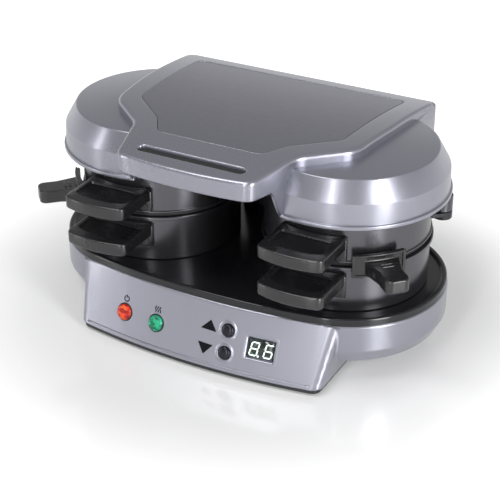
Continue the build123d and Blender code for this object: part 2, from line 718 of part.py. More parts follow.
def make_grip(top):
    """Black handle of a ring: a bowed grip and a bracket that hugs the ring."""
    grip = slab(grip_plan(), top - GRIP_T, top)
    rims = grip.edges().filter_by_position(Axis.Y, -BIG, -GRIP_CORNER_FRONT + GRIP_ROUND)
    grip = chamfer(rims.filter_by(Plane.XY), GRIP_BEVEL)
    pocket_front = -GRIP_CORNER_FRONT + GRIP_BAR
    pocket_half = GRIP_HALF - GRIP_SIDE
    pocket_back = -RING_OUT_R - BRACKET_T - GRIP_SIDE
    grip -= block(-pocket_half, pocket_half, pocket_front, pocket_back, top - GRIP_POCKET, top)
    bracket_top = top - BRACKET_DROP
    bracket_z0 = bracket_top - BRACKET_H
    shell = tube(RING_OUT_R + BRACKET_T, RING_OUT_R, bracket_z0, bracket_top)
    grip += shell & bracket_wedge(BRACKET_ANGLE, bracket_z0, bracket_top)
    grip -= disc(RING_OUT_R, 0, BIG)
    bracket_mid = (bracket_z0 + top - GRIP_T) / 2
    return grip, bracket_mid


def make_grip_rivets(bracket_mid):
    """Two rivets through the bracket below the grip."""
    rivets = []
    for degrees in (-RIVET_ANGLE, RIVET_ANGLE):
        x, y = polar(1.0, degrees)
        outer = RING_OUT_R + BRACKET_T
        length = BRACKET_T
        middle = outer - length / 2
        shank = Pos(x * middle, y * middle, bracket_mid) * Rot(0, 0, degrees) * Rot(90, 0, 0)
        head_at = outer + RIVET_HEAD_H / 2
        head = Pos(x * head_at, y * head_at, bracket_mid) * Rot(0, 0, degrees) * Rot(90, 0, 0)
        rivets.append(shank * Cylinder(RIVET_R, length) + head * Cylinder(RIVET_HEAD_R, RIVET_HEAD_H))
    return rivets


def make_ring_handle(name, top):
    grip, bracket_mid = make_grip(top)
    rivets = make_grip_rivets(bracket_mid)
    for rivet in rivets:
        grip -= rivet
    write_pair(f"{name}_handle", on_station(grip))
    right = [on_station(rivet) for rivet in rivets]
    write(f"{name}_rivets_right", *right)
    write(f"{name}_rivets_left", *[flipped(rivet) for rivet in right])


# -------------------------------------------------------------- cooking plates
def make_cooking_plate():
    """Sliding plate between the rings, with its tongue and pivot hub."""
    plate = disc(COOK_PLATE_R, COOK_PLATE_Z0, COOK_PLATE_Z1)
    middle_z = (COOK_PLATE_Z0 + COOK_PLATE_Z1) / 2
    tongue = Box(2 * TONGUE_HALF, TONGUE_REACH, COOK_PLATE_T)
    x, y = polar(TONGUE_REACH / 2, PADDLE_ANGLE)
    plate += Pos(x, y, middle_z) * Rot(0, 0, PADDLE_ANGLE) * tongue
    pivot_x, pivot_y = polar(PIVOT_REACH, PIVOT_ANGLE)
    neck = Box(2 * PIVOT_BOSS_R, PIVOT_REACH, COOK_PLATE_T)
    plate += Pos(pivot_x / 2, pivot_y / 2, middle_z) * Rot(0, 0, PIVOT_ANGLE) * neck
    hub_z0 = COOK_PLATE_Z0 - PIVOT_HUB_DROP
    plate += disc(PIVOT_BOSS_R, hub_z0, COOK_PLATE_Z1, pivot_x, pivot_y)
    plate -= disc(PIVOT_PIN_R + PIVOT_FIT, 0, BIG, pivot_x, pivot_y)
    return plate


def make_plate_handle():
    """Black paddle with the curved shield that covers the plate's slot."""
    shield = tube(SHIELD_IN_R + SHIELD_T, SHIELD_IN_R, SHIELD_Z0, SHIELD_Z1)
    shield &= bracket_wedge(SHIELD_SPAN / 2, SHIELD_Z0, SHIELD_Z1, SHIELD_ANGLE)
    root = SHIELD_IN_R - 2 * SHIELD_T
    shoulder = SHIELD_IN_R + 2 * PADDLE_HALF
    outline = Polyline(
        (PADDLE_ROOT_HALF, -root),
        (PADDLE_HALF, -shoulder),
        (PADDLE_HALF, -PADDLE_REACH),
        (-PADDLE_HALF, -PADDLE_REACH),
        (-PADDLE_HALF, -shoulder),
        (-PADDLE_ROOT_HALF, -root),
        (PADDLE_ROOT_HALF, -root),
    )
    plan = make_face(outline)
    tips = plan.vertices().sort_by(Axis.Y)[:2]
    plan = fillet(tips, PADDLE_TIP_ROUND)
    paddle = Rot(0, 0, PADDLE_ANGLE) * slab(plan, PADDLE_TOP - PADDLE_T, PADDLE_TOP)
    paddle -= disc(SHIELD_IN_R, 0, BIG)
    return shield + paddle


def make_pivot_pin():
    """Pin riveted into the ear of the top ring, on which the plate swings."""
    hub_z0 = COOK_PLATE_Z0 - PIVOT_HUB_DROP
    pivot_x, pivot_y = polar(PIVOT_REACH, PIVOT_ANGLE)
    head_top = hub_z0 - PIVOT_FIT
    pin = disc(PIVOT_PIN_R, head_top, PIVOT_BOSS_TOP - RING_WALL, pivot_x, pivot_y)
    pin += disc(PIVOT_HEAD_R, head_top - PIVOT_HEAD_H, head_top, pivot_x, pivot_y)
    return on_station(pin)


# ------------------------------------------------------------------------- lid
def lobe(inset):
    """Right round end of the lid, cut off beside the handle."""
    crest = LID_CREST_Z - inset
    outline = Polyline(
        (0, LID_Z0),
        (LID_FLANGE_R - inset, LID_Z0),
        (LID_FLANGE_R - inset, LID_Z0 + LID_FLANGE_H),
        (LID_BAND_R0 - inset, LID_Z0 + LID_BAND_FOOT),
        (LID_BAND_R1 - inset, LID_Z0 + LID_BAND_H),
        (LID_CREST_R - inset, crest),
        (LID_DOME_R, crest + LID_DOME_RISE),
        (0, crest + LID_DOME_RISE),
        (0, LID_Z0),
    )
    end = on_station(revolve(Plane.XZ * make_face(outline), Axis.Z))
    end -= block(-BIG, LID_CREASE_X + inset, -BIG, 0, 0, BIG)
    return end + disc(LID_NECK_R - inset, LID_Z0, BRIDGE_BOTTOM + WALL, STATION_X)


def handle_fin():
    """Side wall of the handle, drawn down to meet the right round end."""
    foot = LID_Z0 + LID_FLANGE_H / 2
    sweep = Spline(
        (FIN_BACK, foot),
        (FIN_FRONT, BRIDGE_BOTTOM),
        tangents=((-1, 1), (-1, 1)),
        tangent_scalars=(1, 1),
    )
    rest = Polyline(
        (FIN_FRONT, BRIDGE_BOTTOM),
        (FIN_FRONT, BRIDGE_BOTTOM + WALL),
        (FIN_BACK, BRIDGE_BOTTOM + WALL),
        (FIN_BACK, foot),
    )
    wall = slab(bridge_plan(0) - bridge_plan(WALL), LID_Z0, BRIDGE_BOTTOM + WALL)
    return wall & side_profile(make_face(sweep + rest), 0, STATION_X)


def lid_core(inset):
    """Body between and behind the round ends."""
    back = LID_BACK - inset
    half = LID_BACK_HALF - inset
    waist = LID_WAIST - inset
    rear = Pos(0, back / 2) * RectangleRounded(2 * half, back, LID_BACK_CORNER - inset)
    middle = Pos(0, (back - waist) / 2) * Rectangle(2 * STATION_X, back + waist)
    return slab(rear + middle, LID_Z0, LID_CREST_Z - inset)


def bridge_plan(inset):
    """Plan of the raised bridge with the front handle."""
    corner_y = -BRIDGE_FRONT_CORNER + inset
    half = BRIDGE_FRONT_HALF - inset
    front = ThreePointArc((-half, corner_y), (0, -BRIDGE_FRONT + inset), (half, corner_y))
    rest = Polyline(
        (half, corner_y),
        (BRIDGE_NECK_X - inset, BRIDGE_NECK_Y),
        (BRIDGE_SHOULDER_X - inset, BRIDGE_SHOULDER_Y + inset),
        (LID_BACK_HALF - inset, BRIDGE_BACK - inset),
        (-LID_BACK_HALF + inset, BRIDGE_BACK - inset),
        (-BRIDGE_SHOULDER_X + inset, BRIDGE_SHOULDER_Y + inset),
        (-BRIDGE_NECK_X + inset, BRIDGE_NECK_Y),
        (-half, corner_y),
    )
    plan = make_face(front + rest)
    return fillet(plan.vertices(), BRIDGE_CORNER - inset)


def under_arch(drop):
    """Everything below the arched top of the bridge."""
    return rod_x(ARCH_R - drop, -BIG, BIG, ARCH_Y, ARCH_TOP - ARCH_R)


def bridge(inset, drop):
    body = slab(bridge_plan(inset), BRIDGE_BOTTOM + inset, ARCH_TOP + WALL)
    return body & under_arch(drop)


def inset_plan():
    outline = Polyline(
        (INSET_FRONT_HALF, INSET_FRONT),
        (INSET_NECK_X, INSET_NECK_Y),
        (INSET_SHOULDER_X, INSET_SHOULDER_Y),
        (INSET_BACK_HALF, INSET_BACK),
        (-INSET_BACK_HALF, INSET_BACK),
        (-INSET_SHOULDER_X, INSET_SHOULDER_Y),
        (-INSET_NECK_X, INSET_NECK_Y),
        (-INSET_FRONT_HALF, INSET_FRONT),
        (INSET_FRONT_HALF, INSET_FRONT),
    )
    plan = make_face(outline)
    return fillet(plan.vertices(), BRIDGE_CORNER / 2)


def make_lid_inset():
    panel = slab(inset_plan(), BRIDGE_BOTTOM, ARCH_TOP + WALL)
    panel &= under_arch(INSET_RECESS)
    return panel - under_arch(INSET_RECESS + INSET_T)


def make_lid_shell():
    shell = lid_core(0) + lobe(0) + flipped(lobe(0))
    shell += bridge(0, 0)
    shell += handle_fin()
    shell += flipped(handle_fin())
    shell -= lid_core(WALL)
    shell -= lobe(WALL)
    shell -= flipped(lobe(WALL))
    shell -= bridge(WALL, BRIDGE_SKIN)
    recess = slab(inset_plan(), BRIDGE_BOTTOM, ARCH_TOP + WALL)
    shell -= recess - under_arch(INSET_RECESS + INSET_T)
    groove = Pos(0, GROOVE_Y) * SlotOverall(2 * GROOVE_HALF, GROOVE_W)
    shell -= slab(groove, BRIDGE_BOTTOM, BIG) - under_arch(GROOVE_DEPTH)
    return shell


def liner_plan(inset):
    back = LID_BACK - inset
    half = LID_BACK_HALF - inset
    waist = LID_WAIST - inset
    rear = Pos(0, back / 2) * RectangleRounded(2 * half, back, LID_BACK_CORNER - WALL)
    middle = Pos(0, (back - waist) / 2) * Rectangle(2 * STATION_X, back + waist)
    cut = LID_CREASE_X + inset
    end = Pos(STATION_X, 0) * Circle(LID_FLANGE_R - inset)
    end -= Pos(cut - BIG / 2, -BIG / 2) * Rectangle(BIG, BIG)
    end += Pos(STATION_X, 0) * Circle(LID_NECK_R - inset)
    return rear + middle + end + mirror(end, about=Plane.YZ)


def make_lid_liner():
    """Black pan under the lid, with wells for the plates and the hinge arms."""
    liner = slab(liner_plan(WALL + SEAT_GAP), LINER_Z0 - LINER_T, LINER_Z0)
    well_r = PLATE_R + SEAT_GAP
    plate_top = UPPER_PLATE_Z0 + PLATE_T
    for x in (-STATION_X, STATION_X):
        liner += disc(well_r + WELL_WALL, LINER_Z0 - LINER_T, plate_top + LEDGE_T, x)
        liner -= disc(well_r, LINER_Z0 - LINER_T, plate_top, x)
        liner -= disc(LEDGE_IN_R, plate_top, plate_top + LEDGE_T, x)
    for side in (-1, 1):
        near = min(side * LID_ARM_X0, side * LID_ARM_X1)
        far = max(side * LID_ARM_X0, side * LID_ARM_X1)
        arm = block(near, far, AXIS_Y - KNUCKLE_R, AXIS_Y + KNUCKLE_R, AXIS_Z, LINER_Z0)
        liner += arm
        liner += rod_x(KNUCKLE_R, near, far, AXIS_Y, AXIS_Z)
    for x, y in lid_screw_places():
        liner -= disc(SCREW_R + SEAT_GAP, LINER_Z0 - LINER_T, LINER_Z0, x, y)
    return liner - shaft_bore()


def lid_screw_places():
    return [(x, y) for x in (-LID_SCREW_X, LID_SCREW_X) for y in (-LID_SCREW_Y, 0, LID_SCREW_Y)]


def make_lid_screws():
    """Screws that hold the liner to posts under the bridge."""
    screws = []
    liner_bottom = LINER_Z0 - LINER_T
    for x, y in lid_screw_places():
        head = disc(SCREW_HEAD_R, liner_bottom - SCREW_HEAD_H / 2, liner_bottom, x, y)
        shank = disc(SCREW_R, liner_bottom, LINER_Z0 + LID_SCREW_RISE, x, y)
        screws.append(head + shank)
    return screws


def add_lid_posts(shell):
    """Posts that hang from the skin of the bridge down to the liner."""
    for x, y in lid_screw_places():
        post = disc(POST_R, LINER_Z0, ARCH_TOP, x, y) & under_arch(BRIDGE_SKIN - WALL / 2)
        shell += post - disc(SCREW_R, LINER_Z0, LINER_Z0 + LID_SCREW_RISE, x, y)
    return shell


# -------------------------------------------------------------------- controls
def make_lens(x, z):
    """Domed indicator lens with a flange behind the panel."""
    barrel = Cylinder(LENS_R, LENS_PROUD + 2 * WALL)
    barrel = Pos(0, 0, (LENS_PROUD - 2 * WALL) / 2) * barrel
    top = barrel.edges().sort_by(Axis.Z)[-1]
    barrel = fillet(top, LENS_DOME)
    back = -seat_depth(x, LENS_R + LENS_FLANGE)
    flange = Pos(0, 0, back - LENS_FLANGE_T / 2) * Cylinder(LENS_R + LENS_FLANGE, LENS_FLANGE_T)
    cup = Pos(0, 0, back - 3 * LENS_FLANGE_T) * Cylinder(LENS_R - LENS_FLANGE_T, 8 * LENS_FLANGE_T)
    return on_panel(x, z) * (barrel + flange - cup)


def seat_depth(x, half_width):
    """How far behind the panel surface a square flange clears its inner wall."""
    edge = bow_set_back(abs(x) + half_width) - bow_set_back(x)
    return WALL + edge * math.cos(PANEL_SLOPE) + SEAT_GAP / 2


def make_button(z):
    """Domed push button with a flange and a stem to its switch."""
    x = BUTTON_X
    back = seat_depth(x, BUTTON_R + BUTTON_FLANGE)
    body = Pos(0, 0, (BUTTON_PROUD - back) / 2) * Cylinder(BUTTON_R, BUTTON_PROUD + back)
    top = body.edges().sort_by(Axis.Z)[-1]
    body = fillet(top, BUTTON_PROUD / 2)
    flange = Pos(0, 0, -back - BUTTON_FLANGE_T / 2)
    body += flange * Cylinder(BUTTON_R + BUTTON_FLANGE, BUTTON_FLANGE_T)
    stem_end = -(board_depth(x, z) - SWITCH_H - SWITCH_GAP - BUTTON_TRAVEL)
    stem = Pos(0, 0, (stem_end - back) / 2) * Cylinder(BUTTON_STEM_R, -back - stem_end)
    return on_panel(x, z) * (body + stem)


def make_switches():
    """Tact switches on the board, one behind each button."""
    switches = []
    for z in (UP_BUTTON_Z, DOWN_BUTTON_Z):
        face = -board_depth(BUTTON_X, z)
        case_h = SWITCH_H - BUTTON_TRAVEL
        case = Pos(0, 0, face + case_h / 2) * Box(SWITCH_SIDE, SWITCH_SIDE, case_h)
        tip = Pos(0, 0, face + case_h + SWITCH_TIP_H / 2)
        tip *= Cylinder(SWITCH_TIP_R, SWITCH_TIP_H)
        switches.append(on_panel(BUTTON_X, z) * (case + tip))
    return switches


def make_window():
    """Clear display window with a thin raised rim."""
    back = seat_depth(WINDOW_X, WINDOW_W / 2 + WINDOW_RIM)
    pane = Pos(0, 0, -back + WINDOW_T / 2)
    pane *= Box(WINDOW_W - SEAT_GAP, WINDOW_H - SEAT_GAP, WINDOW_T)
    frame_h = back + RIM_STEP
    frame = Box(WINDOW_W - SEAT_GAP, WINDOW_H - SEAT_GAP, frame_h)
    frame -= Box(WINDOW_W - 2 * WINDOW_RIM, WINDOW_H - 2 * WINDOW_RIM, frame_h)
    flange = Box(WINDOW_W + 2 * WINDOW_RIM, WINDOW_H + 2 * WINDOW_RIM, LENS_FLANGE_T)
    flange -= Box(WINDOW_W - 2 * WINDOW_RIM, WINDOW_H - 2 * WINDOW_RIM, LENS_FLANGE_T)
    body = pane + Pos(0, 0, -back + frame_h / 2) * frame
    body += Pos(0, 0, -back - LENS_FLANGE_T / 2) * flange
    return on_panel(WINDOW_X, WINDOW_Z) * body


def make_display():
    """Two-digit display block between the board and the window."""
    face = -board_depth(WINDOW_X, WINDOW_Z)
    top = -seat_depth(WINDOW_X, WINDOW_W / 2 + WINDOW_RIM) - LENS_FLANGE_T
    case = Box(DISPLAY_CASE_W - 2 * WINDOW_RIM, DISPLAY_CASE_H - 2 * WINDOW_RIM, top - face)
    return on_panel(WINDOW_X, WINDOW_Z) * Pos(0, 0, (top + face) / 2) * case


def make_lamps():
    """Indicator lamps that stand on the board behind the lenses."""
    lamps = []
    for x, z in ((LENS_X_RED, LENS_Z_RED), (LENS_X_GREEN, LENS_Z_GREEN)):
        face = -board_depth(x, z)
        top = -seat_depth(x, LENS_R + LENS_FLANGE)
        lamp = Pos(0, 0, (face + top) / 2) * Cylinder(LAMP_R, top - face)
        lamp = fillet(lamp.edges().sort_by(Axis.Z)[-1], LAMP_DOME)
        lamps.append(on_panel(x, z) * lamp)
    return lamps


def make_board():
    """Printed circuit board behind the panel."""
    width = BOARD_HALF_LEFT + BOARD_RIGHT
    offset = (BOARD_RIGHT - BOARD_HALF_LEFT) / 2
    board = Pos(offset, 0, -BOARD_BACK - BOARD_T / 2) * Box(width, BOARD_H, BOARD_T)
    return on_panel(0, PANEL_MID_Z) * board


def make_buzzer():
    buzzer = Pos(0, 0, -BOARD_BACK + BUZZER_H / 2) * Cylinder(BUZZER_R, BUZZER_H)
    return on_panel(0, PANEL_MID_Z) * buzzer


def make_board_clips():
    """Two ribs that carry the board on the bottom cover."""
    clips = []
    low = on_panel(0, PANEL_MID_Z) * Pos(0, -BOARD_H / 2, -BOARD_BACK - BOARD_T / 2)
    y = low.position.Y
    for x in (-BOARD_HALF_LEFT / 2, BOARD_RIGHT / 2):
        rib = block(x - WALL, x + WALL, y - 2 * WALL, y + 2 * WALL, COVER_TOP, low.position.Z)
        clips.append(rib - make_board())
    return clips


# ---------------------------------------------------- parts inside the base
def make_thermostat():
    """Snap disc thermostat clipped under a lower plate."""
    top = LOWER_PLATE_Z0
    body = disc(THERMOSTAT_R, top - THERMOSTAT_H, top)
    body += disc(THERMOSTAT_CAP_R, top - THERMOSTAT_H - THERMOSTAT_CAP_H, top - THERMOSTAT_H)
    return on_station(body)


def make_thermal_fuse():
    z = LOWER_PLATE_Z0 - FUSE_R
    return Pos(STATION_X, THERMOSTAT_R + 3 * FUSE_R, z) * Rot(0, 90, 0) * Cylinder(FUSE_R, FUSE_L)


def make_terminal_block():
    length, depth, height = TERMINAL_BLOCK
    y = TERMINAL_BLOCK_Y
    body = block(-length / 2, length / 2, y, y + depth, COVER_TOP, COVER_TOP + height)
    pitch = length / TERMINAL_WAYS
    for way in range(TERMINAL_WAYS):
        x = (way - (TERMINAL_WAYS - 1) / 2) * pitch
        body -= disc(pitch / 4, COVER_TOP + height / 2, COVER_TOP + height, x, y + depth / 2)
    return body


# ------------------------------------------------------------------- write all
write("base_housing", make_base_housing())
write("bottom_cover", make_bottom_cover())
write("rubber_feet", *make_feet())
write("cover_screws", *make_cover_screws())
write("cord_gland", make_cord_gland())
write("deck_tray", make_deck_tray())
write("hinge_tower", make_hinge_tower())
write("hinge_shaft", make_hinge_shaft())
write("shaft_clips", *make_shaft_clips())
write_pair("lower_heating_plate", make_heating_plate(LOWER_PLATE_Z0, True))
write_pair("lower_element", make_element(LOWER_PLATE_Z0, -1))
write_pair("thermostat", make_thermostat())
write_pair("thermal_fuse", make_thermal_fuse())
write("terminal_block", make_terminal_block())
write("control_board", make_board())
write("board_ribs", *make_board_clips())
write("buzzer", make_buzzer())
write("button_switches", *make_switches())
write("indicator_lamps", *make_lamps())
write("display_module", make_display())
write("display_window", make_window())
write("power_lens_red", make_lens(LENS_X_RED, LENS_Z_RED))
write("heat_lens_green", make_lens(LENS_X_GREEN, LENS_Z_GREEN))
write("up_button", make_button(UP_BUTTON_Z))
write("down_button", make_button(DOWN_BUTTON_Z))

write_pair("bottom_ring", make_bottom_ring())
write_pair("top_ring", make_top_ring())
make_ring_handle("bottom_ring", LOWER_GRIP_TOP)
make_ring_handle("top_ring", UPPER_GRIP_TOP)
cooking_plate = make_cooking_plate()
write_pair("cooking_plate", on_station(cooking_plate))
write_pair("plate_handle", on_station(make_plate_handle() - cooking_plate))
write_pair("plate_pivot_pin", make_pivot_pin())

write("lid_shell", add_lid_posts(make_lid_shell()))
write("lid_inset_panel", make_lid_inset())
write("lid_liner", make_lid_liner())
write("lid_screws", *make_lid_screws())
write_pair("upper_heating_plate", make_heating_plate(UPPER_PLATE_Z0, False))
write_pair("upper_element", make_element(UPPER_PLATE_Z0 + PLATE_T, 1))
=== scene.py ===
import bpy
import bmesh
import json
import math
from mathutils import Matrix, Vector


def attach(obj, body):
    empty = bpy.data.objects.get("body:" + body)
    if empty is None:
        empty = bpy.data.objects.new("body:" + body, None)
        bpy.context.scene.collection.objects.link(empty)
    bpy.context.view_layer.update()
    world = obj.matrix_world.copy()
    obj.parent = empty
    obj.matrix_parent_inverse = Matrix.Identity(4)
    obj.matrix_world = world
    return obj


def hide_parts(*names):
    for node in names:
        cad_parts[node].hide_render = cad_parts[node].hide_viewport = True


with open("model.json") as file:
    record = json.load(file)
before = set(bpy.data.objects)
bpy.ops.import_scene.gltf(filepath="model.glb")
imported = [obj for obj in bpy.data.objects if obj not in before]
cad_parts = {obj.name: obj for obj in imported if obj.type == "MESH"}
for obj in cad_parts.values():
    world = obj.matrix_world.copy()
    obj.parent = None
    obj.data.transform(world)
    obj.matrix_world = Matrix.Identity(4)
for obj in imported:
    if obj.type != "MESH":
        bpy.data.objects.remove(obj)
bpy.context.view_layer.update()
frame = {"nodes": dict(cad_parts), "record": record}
scene = bpy.context.scene

# ---- Studio: camera, floor, backdrop and soft lamps --------------------------
# Nothing here is part of the object. A long lens looks down at it from the front
# right, over a pale glossy table, as in a plain packshot.
FOCAL_PIXELS = 1383.95      # focal length in pixels of the 500 pixel frame
FRAME_PIXELS = 500
SENSOR = 36.0
PRINCIPAL_X = 247.148
camera_data = bpy.data.cameras.new("packshot_camera")
camera_data.sensor_width = SENSOR
camera_data.lens = FOCAL_PIXELS * SENSOR / FRAME_PIXELS
camera_data.shift_x = (FRAME_PIXELS / 2 - PRINCIPAL_X) / FRAME_PIXELS
camera_data.clip_end = 20
camera = bpy.data.objects.new("packshot_camera", camera_data)
camera.location = (0.4808, -0.89405, 0.6158)
camera.rotation_euler = (math.radians(90 - 28.855), 0, math.radians(28.457))
scene.collection.objects.link(camera)
scene.camera = camera
scene.view_settings.view_transform = "Standard"


class Wire:
    """One socket of a shader; sums and products on it add their Math nodes."""

    def __init__(self, finish, socket):
        self.finish = finish
        self.socket = socket

    def math(self, operation, *values, clamp=False):
        node = self.finish.tree.nodes.new("ShaderNodeMath")
        node.operation = operation
        node.use_clamp = clamp
        for socket, value in zip(node.inputs, values):
            self.finish.feed(socket, value)
        return Wire(self.finish, node.outputs[0])

    def __add__(self, other):
        return self.math("ADD", self, other)

    def __radd__(self, other):
        return self.math("ADD", other, self)

    def __sub__(self, other):
        return self.math("SUBTRACT", self, other)

    def __rsub__(self, other):
        return self.math("SUBTRACT", other, self)

    def __mul__(self, other):
        return self.math("MULTIPLY", self, other)

    def __rmul__(self, other):
        return self.math("MULTIPLY", other, self)

    def held(self):
        """The same value, kept between 0 and 1."""
        return self.math("ADD", self, 0.0, clamp=True)


class Finish:
    """One surface finish: a material with its shader and its nodes."""

    def __init__(self, name, **fixed):
        self.material = bpy.data.materials.new(name)
        self.material.use_nodes = True
        self.tree = self.material.node_tree
        self.shader = self.tree.nodes["Principled BSDF"]
        for label, value in fixed.items():
            self.shader.inputs[label.replace("_", " ")].default_value = value

    def feed(self, socket, value):
        if isinstance(value, Wire):
            self.tree.links.new(value.socket, socket)
        else:
            socket.default_value = value

    def add(self, kind, settings=None, inputs=None, out=0):
        """Any node: its settings first, then the values or links of its sockets."""
        node = self.tree.nodes.new(kind)
        for label, value in (settings or {}).items():
            if label == "stops":
                ramp = node.color_ramp
                while len(ramp.elements) < len(value):
                    ramp.elements.new(1.0)
                for element, (place, colour) in zip(ramp.elements, value):
                    element.position = place
                    element.color = colour
            else:
                setattr(node, label, value)
        for label, value in (inputs or {}).items():
            self.feed(node.inputs[label], value)
        return Wire(self, node.outputs[out])

    def set(self, label, value):
        self.feed(self.shader.inputs[label], value)

    def where(self):
        return self.add("ShaderNodeTexCoord", out="Object")

    def cloud(self, scale, detail=3.0, stretch=(1, 1, 1)):
        """Soft noise of a scale per metre, drawn out along an axis by stretch."""
        place = self.add(
            "ShaderNodeMapping", {}, {"Vector": self.where(), "Scale": stretch}
        )
        return self.add(
            "ShaderNodeTexNoise", {}, {"Vector": place, "Scale": scale, "Detail": detail}
        )

    def tint(self, amount, dark, light):
        """Colour between two tones, by an amount from 0 to 1."""
        return self.add(
            "ShaderNodeMix",
            {"data_type": "RGBA"},
            {0: amount, 6: (*dark, 1), 7: (*light, 1)},
            out=2,
        )

    def relief(self, height, strength, distance):
        """Small surface relief, in metres, into the shader's normal."""
        bump = self.add(
            "ShaderNodeBump",
            {},
            {"Height": height, "Strength": strength, "Distance": distance},
        )
        self.set("Normal", bump)


def mesh_object(name, points, faces, material):
    mesh = bpy.data.meshes.new(name)
    mesh.from_pydata(points, [], faces)
    mesh.materials.append(material)
    mesh.shade_smooth()
    piece = bpy.data.objects.new(name, mesh)
    scene.collection.objects.link(piece)
    return piece


NEAR_GLOW = 0.15            # seen by the eye and in reflections, never lighting the object
FAR_GLOW = 0.55             # added towards the far table, so the table near the object stays darker: a painted shadow round it
GLOSS_SHARE = 0.3           # of the far glow that gloss shows
table = Finish("table_gloss", Roughness=0.11, IOR=1.9)
table.set("Base Color", table.tint(table.cloud(3.0), (0.80, 0.80, 0.80), (0.83, 0.83, 0.825)))
by_eye = table.add("ShaderNodeLightPath", out="Is Camera Ray")
by_gloss = table.add("ShaderNodeLightPath", out="Is Glossy Ray")
# The table's glow is lower within 0.36 m of the middle: a painted shadow round the object, also seen in
# its reflections.
away = table.add("ShaderNodeVectorMath", {"operation": "LENGTH"}, {0: table.where()}, "Value")
far = table.add("ShaderNodeMapRange", {"interpolation_type": "SMOOTHSTEP"}, {
    "Value": away, "From Min": 0.15, "From Max": 0.36, "To Min": 0.0, "To Max": FAR_GLOW})
glow = table.add("ShaderNodeEmission", {}, {
    "Color": (1, 1, 1, 1),
    "Strength": by_eye * (far + NEAR_GLOW) + by_gloss * (far * GLOSS_SHARE + NEAR_GLOW)})
lit = table.add(
    "ShaderNodeAddShader", {}, {0: Wire(table, table.shader.outputs[0]), 1: glow}
)
table.feed(table.tree.nodes["Material Output"].inputs["Surface"], lit)
FLOOR_HALF = 6.0
floor = mesh_object(
    "table_top",
    [(-FLOOR_HALF, -FLOOR_HALF, 0), (FLOOR_HALF, -FLOOR_HALF, 0),
     (FLOOR_HALF, FLOOR_HALF, 0), (-FLOOR_HALF, FLOOR_HALF, 0)],
    [(0, 1, 2, 3)],
    table.material,
)

world = bpy.data.worlds.new("studio")
world.use_nodes = True
scene.world = world


def studio_node(kind, **settings):
    node = world.node_tree.nodes.new(kind)
    for label, value in settings.items():
        setattr(node, label, value)
    return node


ROOM_LIGHT = 0.26           # what the room itself gives
TOP_SEEN = 0.40             # what gloss shows of the room above
backdrop = world.node_tree.nodes["Background"]
backdrop.inputs["Color"].default_value = (1, 1, 1, 1)
rays = studio_node("ShaderNodeLightPath")
direct = studio_node("ShaderNodeMath", operation="MAXIMUM")
bent = studio_node("ShaderNodeMath", operation="MAXIMUM")
sight = studio_node("ShaderNodeTexCoord")
height = studio_node("ShaderNodeSeparateXYZ")
fade = studio_node("ShaderNodeMapRange")
either = studio_node("ShaderNodeMix")
for socket, value in zip(fade.inputs[1:5], (0.05, 0.45, 1.0, TOP_SEEN)):
    socket.default_value = value
either.inputs[2].default_value = ROOM_LIGHT
for start, end in (
    (rays.outputs["Is Camera Ray"], direct.inputs[0]),
    (rays.outputs["Is Glossy Ray"], direct.inputs[1]),
    (direct.outputs[0], bent.inputs[0]),
    (rays.outputs["Is Transmission Ray"], bent.inputs[1]),
    (sight.outputs["Generated"], height.inputs[0]),
    (height.outputs["Z"], fade.inputs["Value"]),
    (bent.outputs[0], either.inputs[0]),
    (fade.outputs[0], either.inputs[3]),
    (either.outputs[0], backdrop.inputs["Strength"]),
):
    world.node_tree.links.new(start, end)


def soft_box(name, place, aim, width, height, power):
    lamp = bpy.data.lights.new(name, "AREA")
    lamp.shape = "RECTANGLE"
    lamp.size = width
    lamp.size_y = height
    lamp.energy = power
    holder = bpy.data.objects.new(name, lamp)
    holder.location = place
    holder.rotation_euler = (Vector(place) - Vector(aim)).to_track_quat("Z", "Y").to_euler()
    scene.collection.objects.link(holder)


soft_box("overhead_box", (-0.25, -0.75, 1.5), (0, 0, 0.1), 1.0, 0.35, 9)
soft_box("left_box", (-1.15, -0.95, 0.45), (0, 0, 0.1), 0.16, 0.8, 2.2)
soft_box("front_box", (0.2, -1.5, 0.75), (0, 0, 0.1), 0.12, 1.2, 6)
soft_box("right_box", (1.25, -0.6, 0.5), (0, 0, 0.1), 0.4, 1.0, 15)

# ---- Base housing --------------------------------------------------------------
# One moulding of silver-painted plastic: round wings under the rim, and a slanted
# pedestal for the control panel. The paint has a fine metal flake under clear gloss.
STATION_X = 86.0            # the cooking stations stand this far each side
STATION_Y = 2.05            # and this far behind the origin
MM = 0.001

silver = Finish("silver_paint", Metallic=0.78, IOR=1.5, Coat_Roughness=0.08)
flake = silver.cloud(1900.0, 0.0)
drift = silver.cloud(7.0, 1.0)
silver.set("Base Color", silver.tint(
    (flake * 0.4 + drift * 0.6).held(), (0.28, 0.282, 0.330), (0.335, 0.338, 0.394)))
silver.set("Roughness", 0.25 + 0.04 * drift + 0.03 * flake)
silver.set("Coat Weight", 0.35 + 0.15 * drift)
silver.relief(silver.cloud(420.0, 1.0), 0.05, 0.00004)


def softened(node, name, body, slot, edge, steps=3, crease=25.0):
    """A copy of a CAD piece with its edges rounded, in the piece's own place."""
    shape = bmesh.new()
    shape.from_mesh(frame["nodes"][node].data)
    bmesh.ops.remove_doubles(shape, verts=shape.verts, dist=0.000002)
    bmesh.ops.dissolve_limit(
        shape, angle_limit=math.radians(1.0), verts=shape.verts, edges=shape.edges
    )
    mesh = bpy.data.meshes.new(name)
    shape.to_mesh(mesh)
    shape.free()
    mesh.materials.clear()
    mesh.materials.append(slot[1].material)
    mesh.shade_smooth()
    piece = bpy.data.objects.new(name, mesh)
    scene.collection.objects.link(piece)
    bevel = piece.modifiers.new("edges", "BEVEL")
    bevel.width = edge * MM
    bevel.segments = steps
    bevel.limit_method = "ANGLE"
    bevel.angle_limit = math.radians(crease)
    bevel.use_clamp_overlap = False
    settle(piece)
    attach(piece, body)
    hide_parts(node)
    return piece


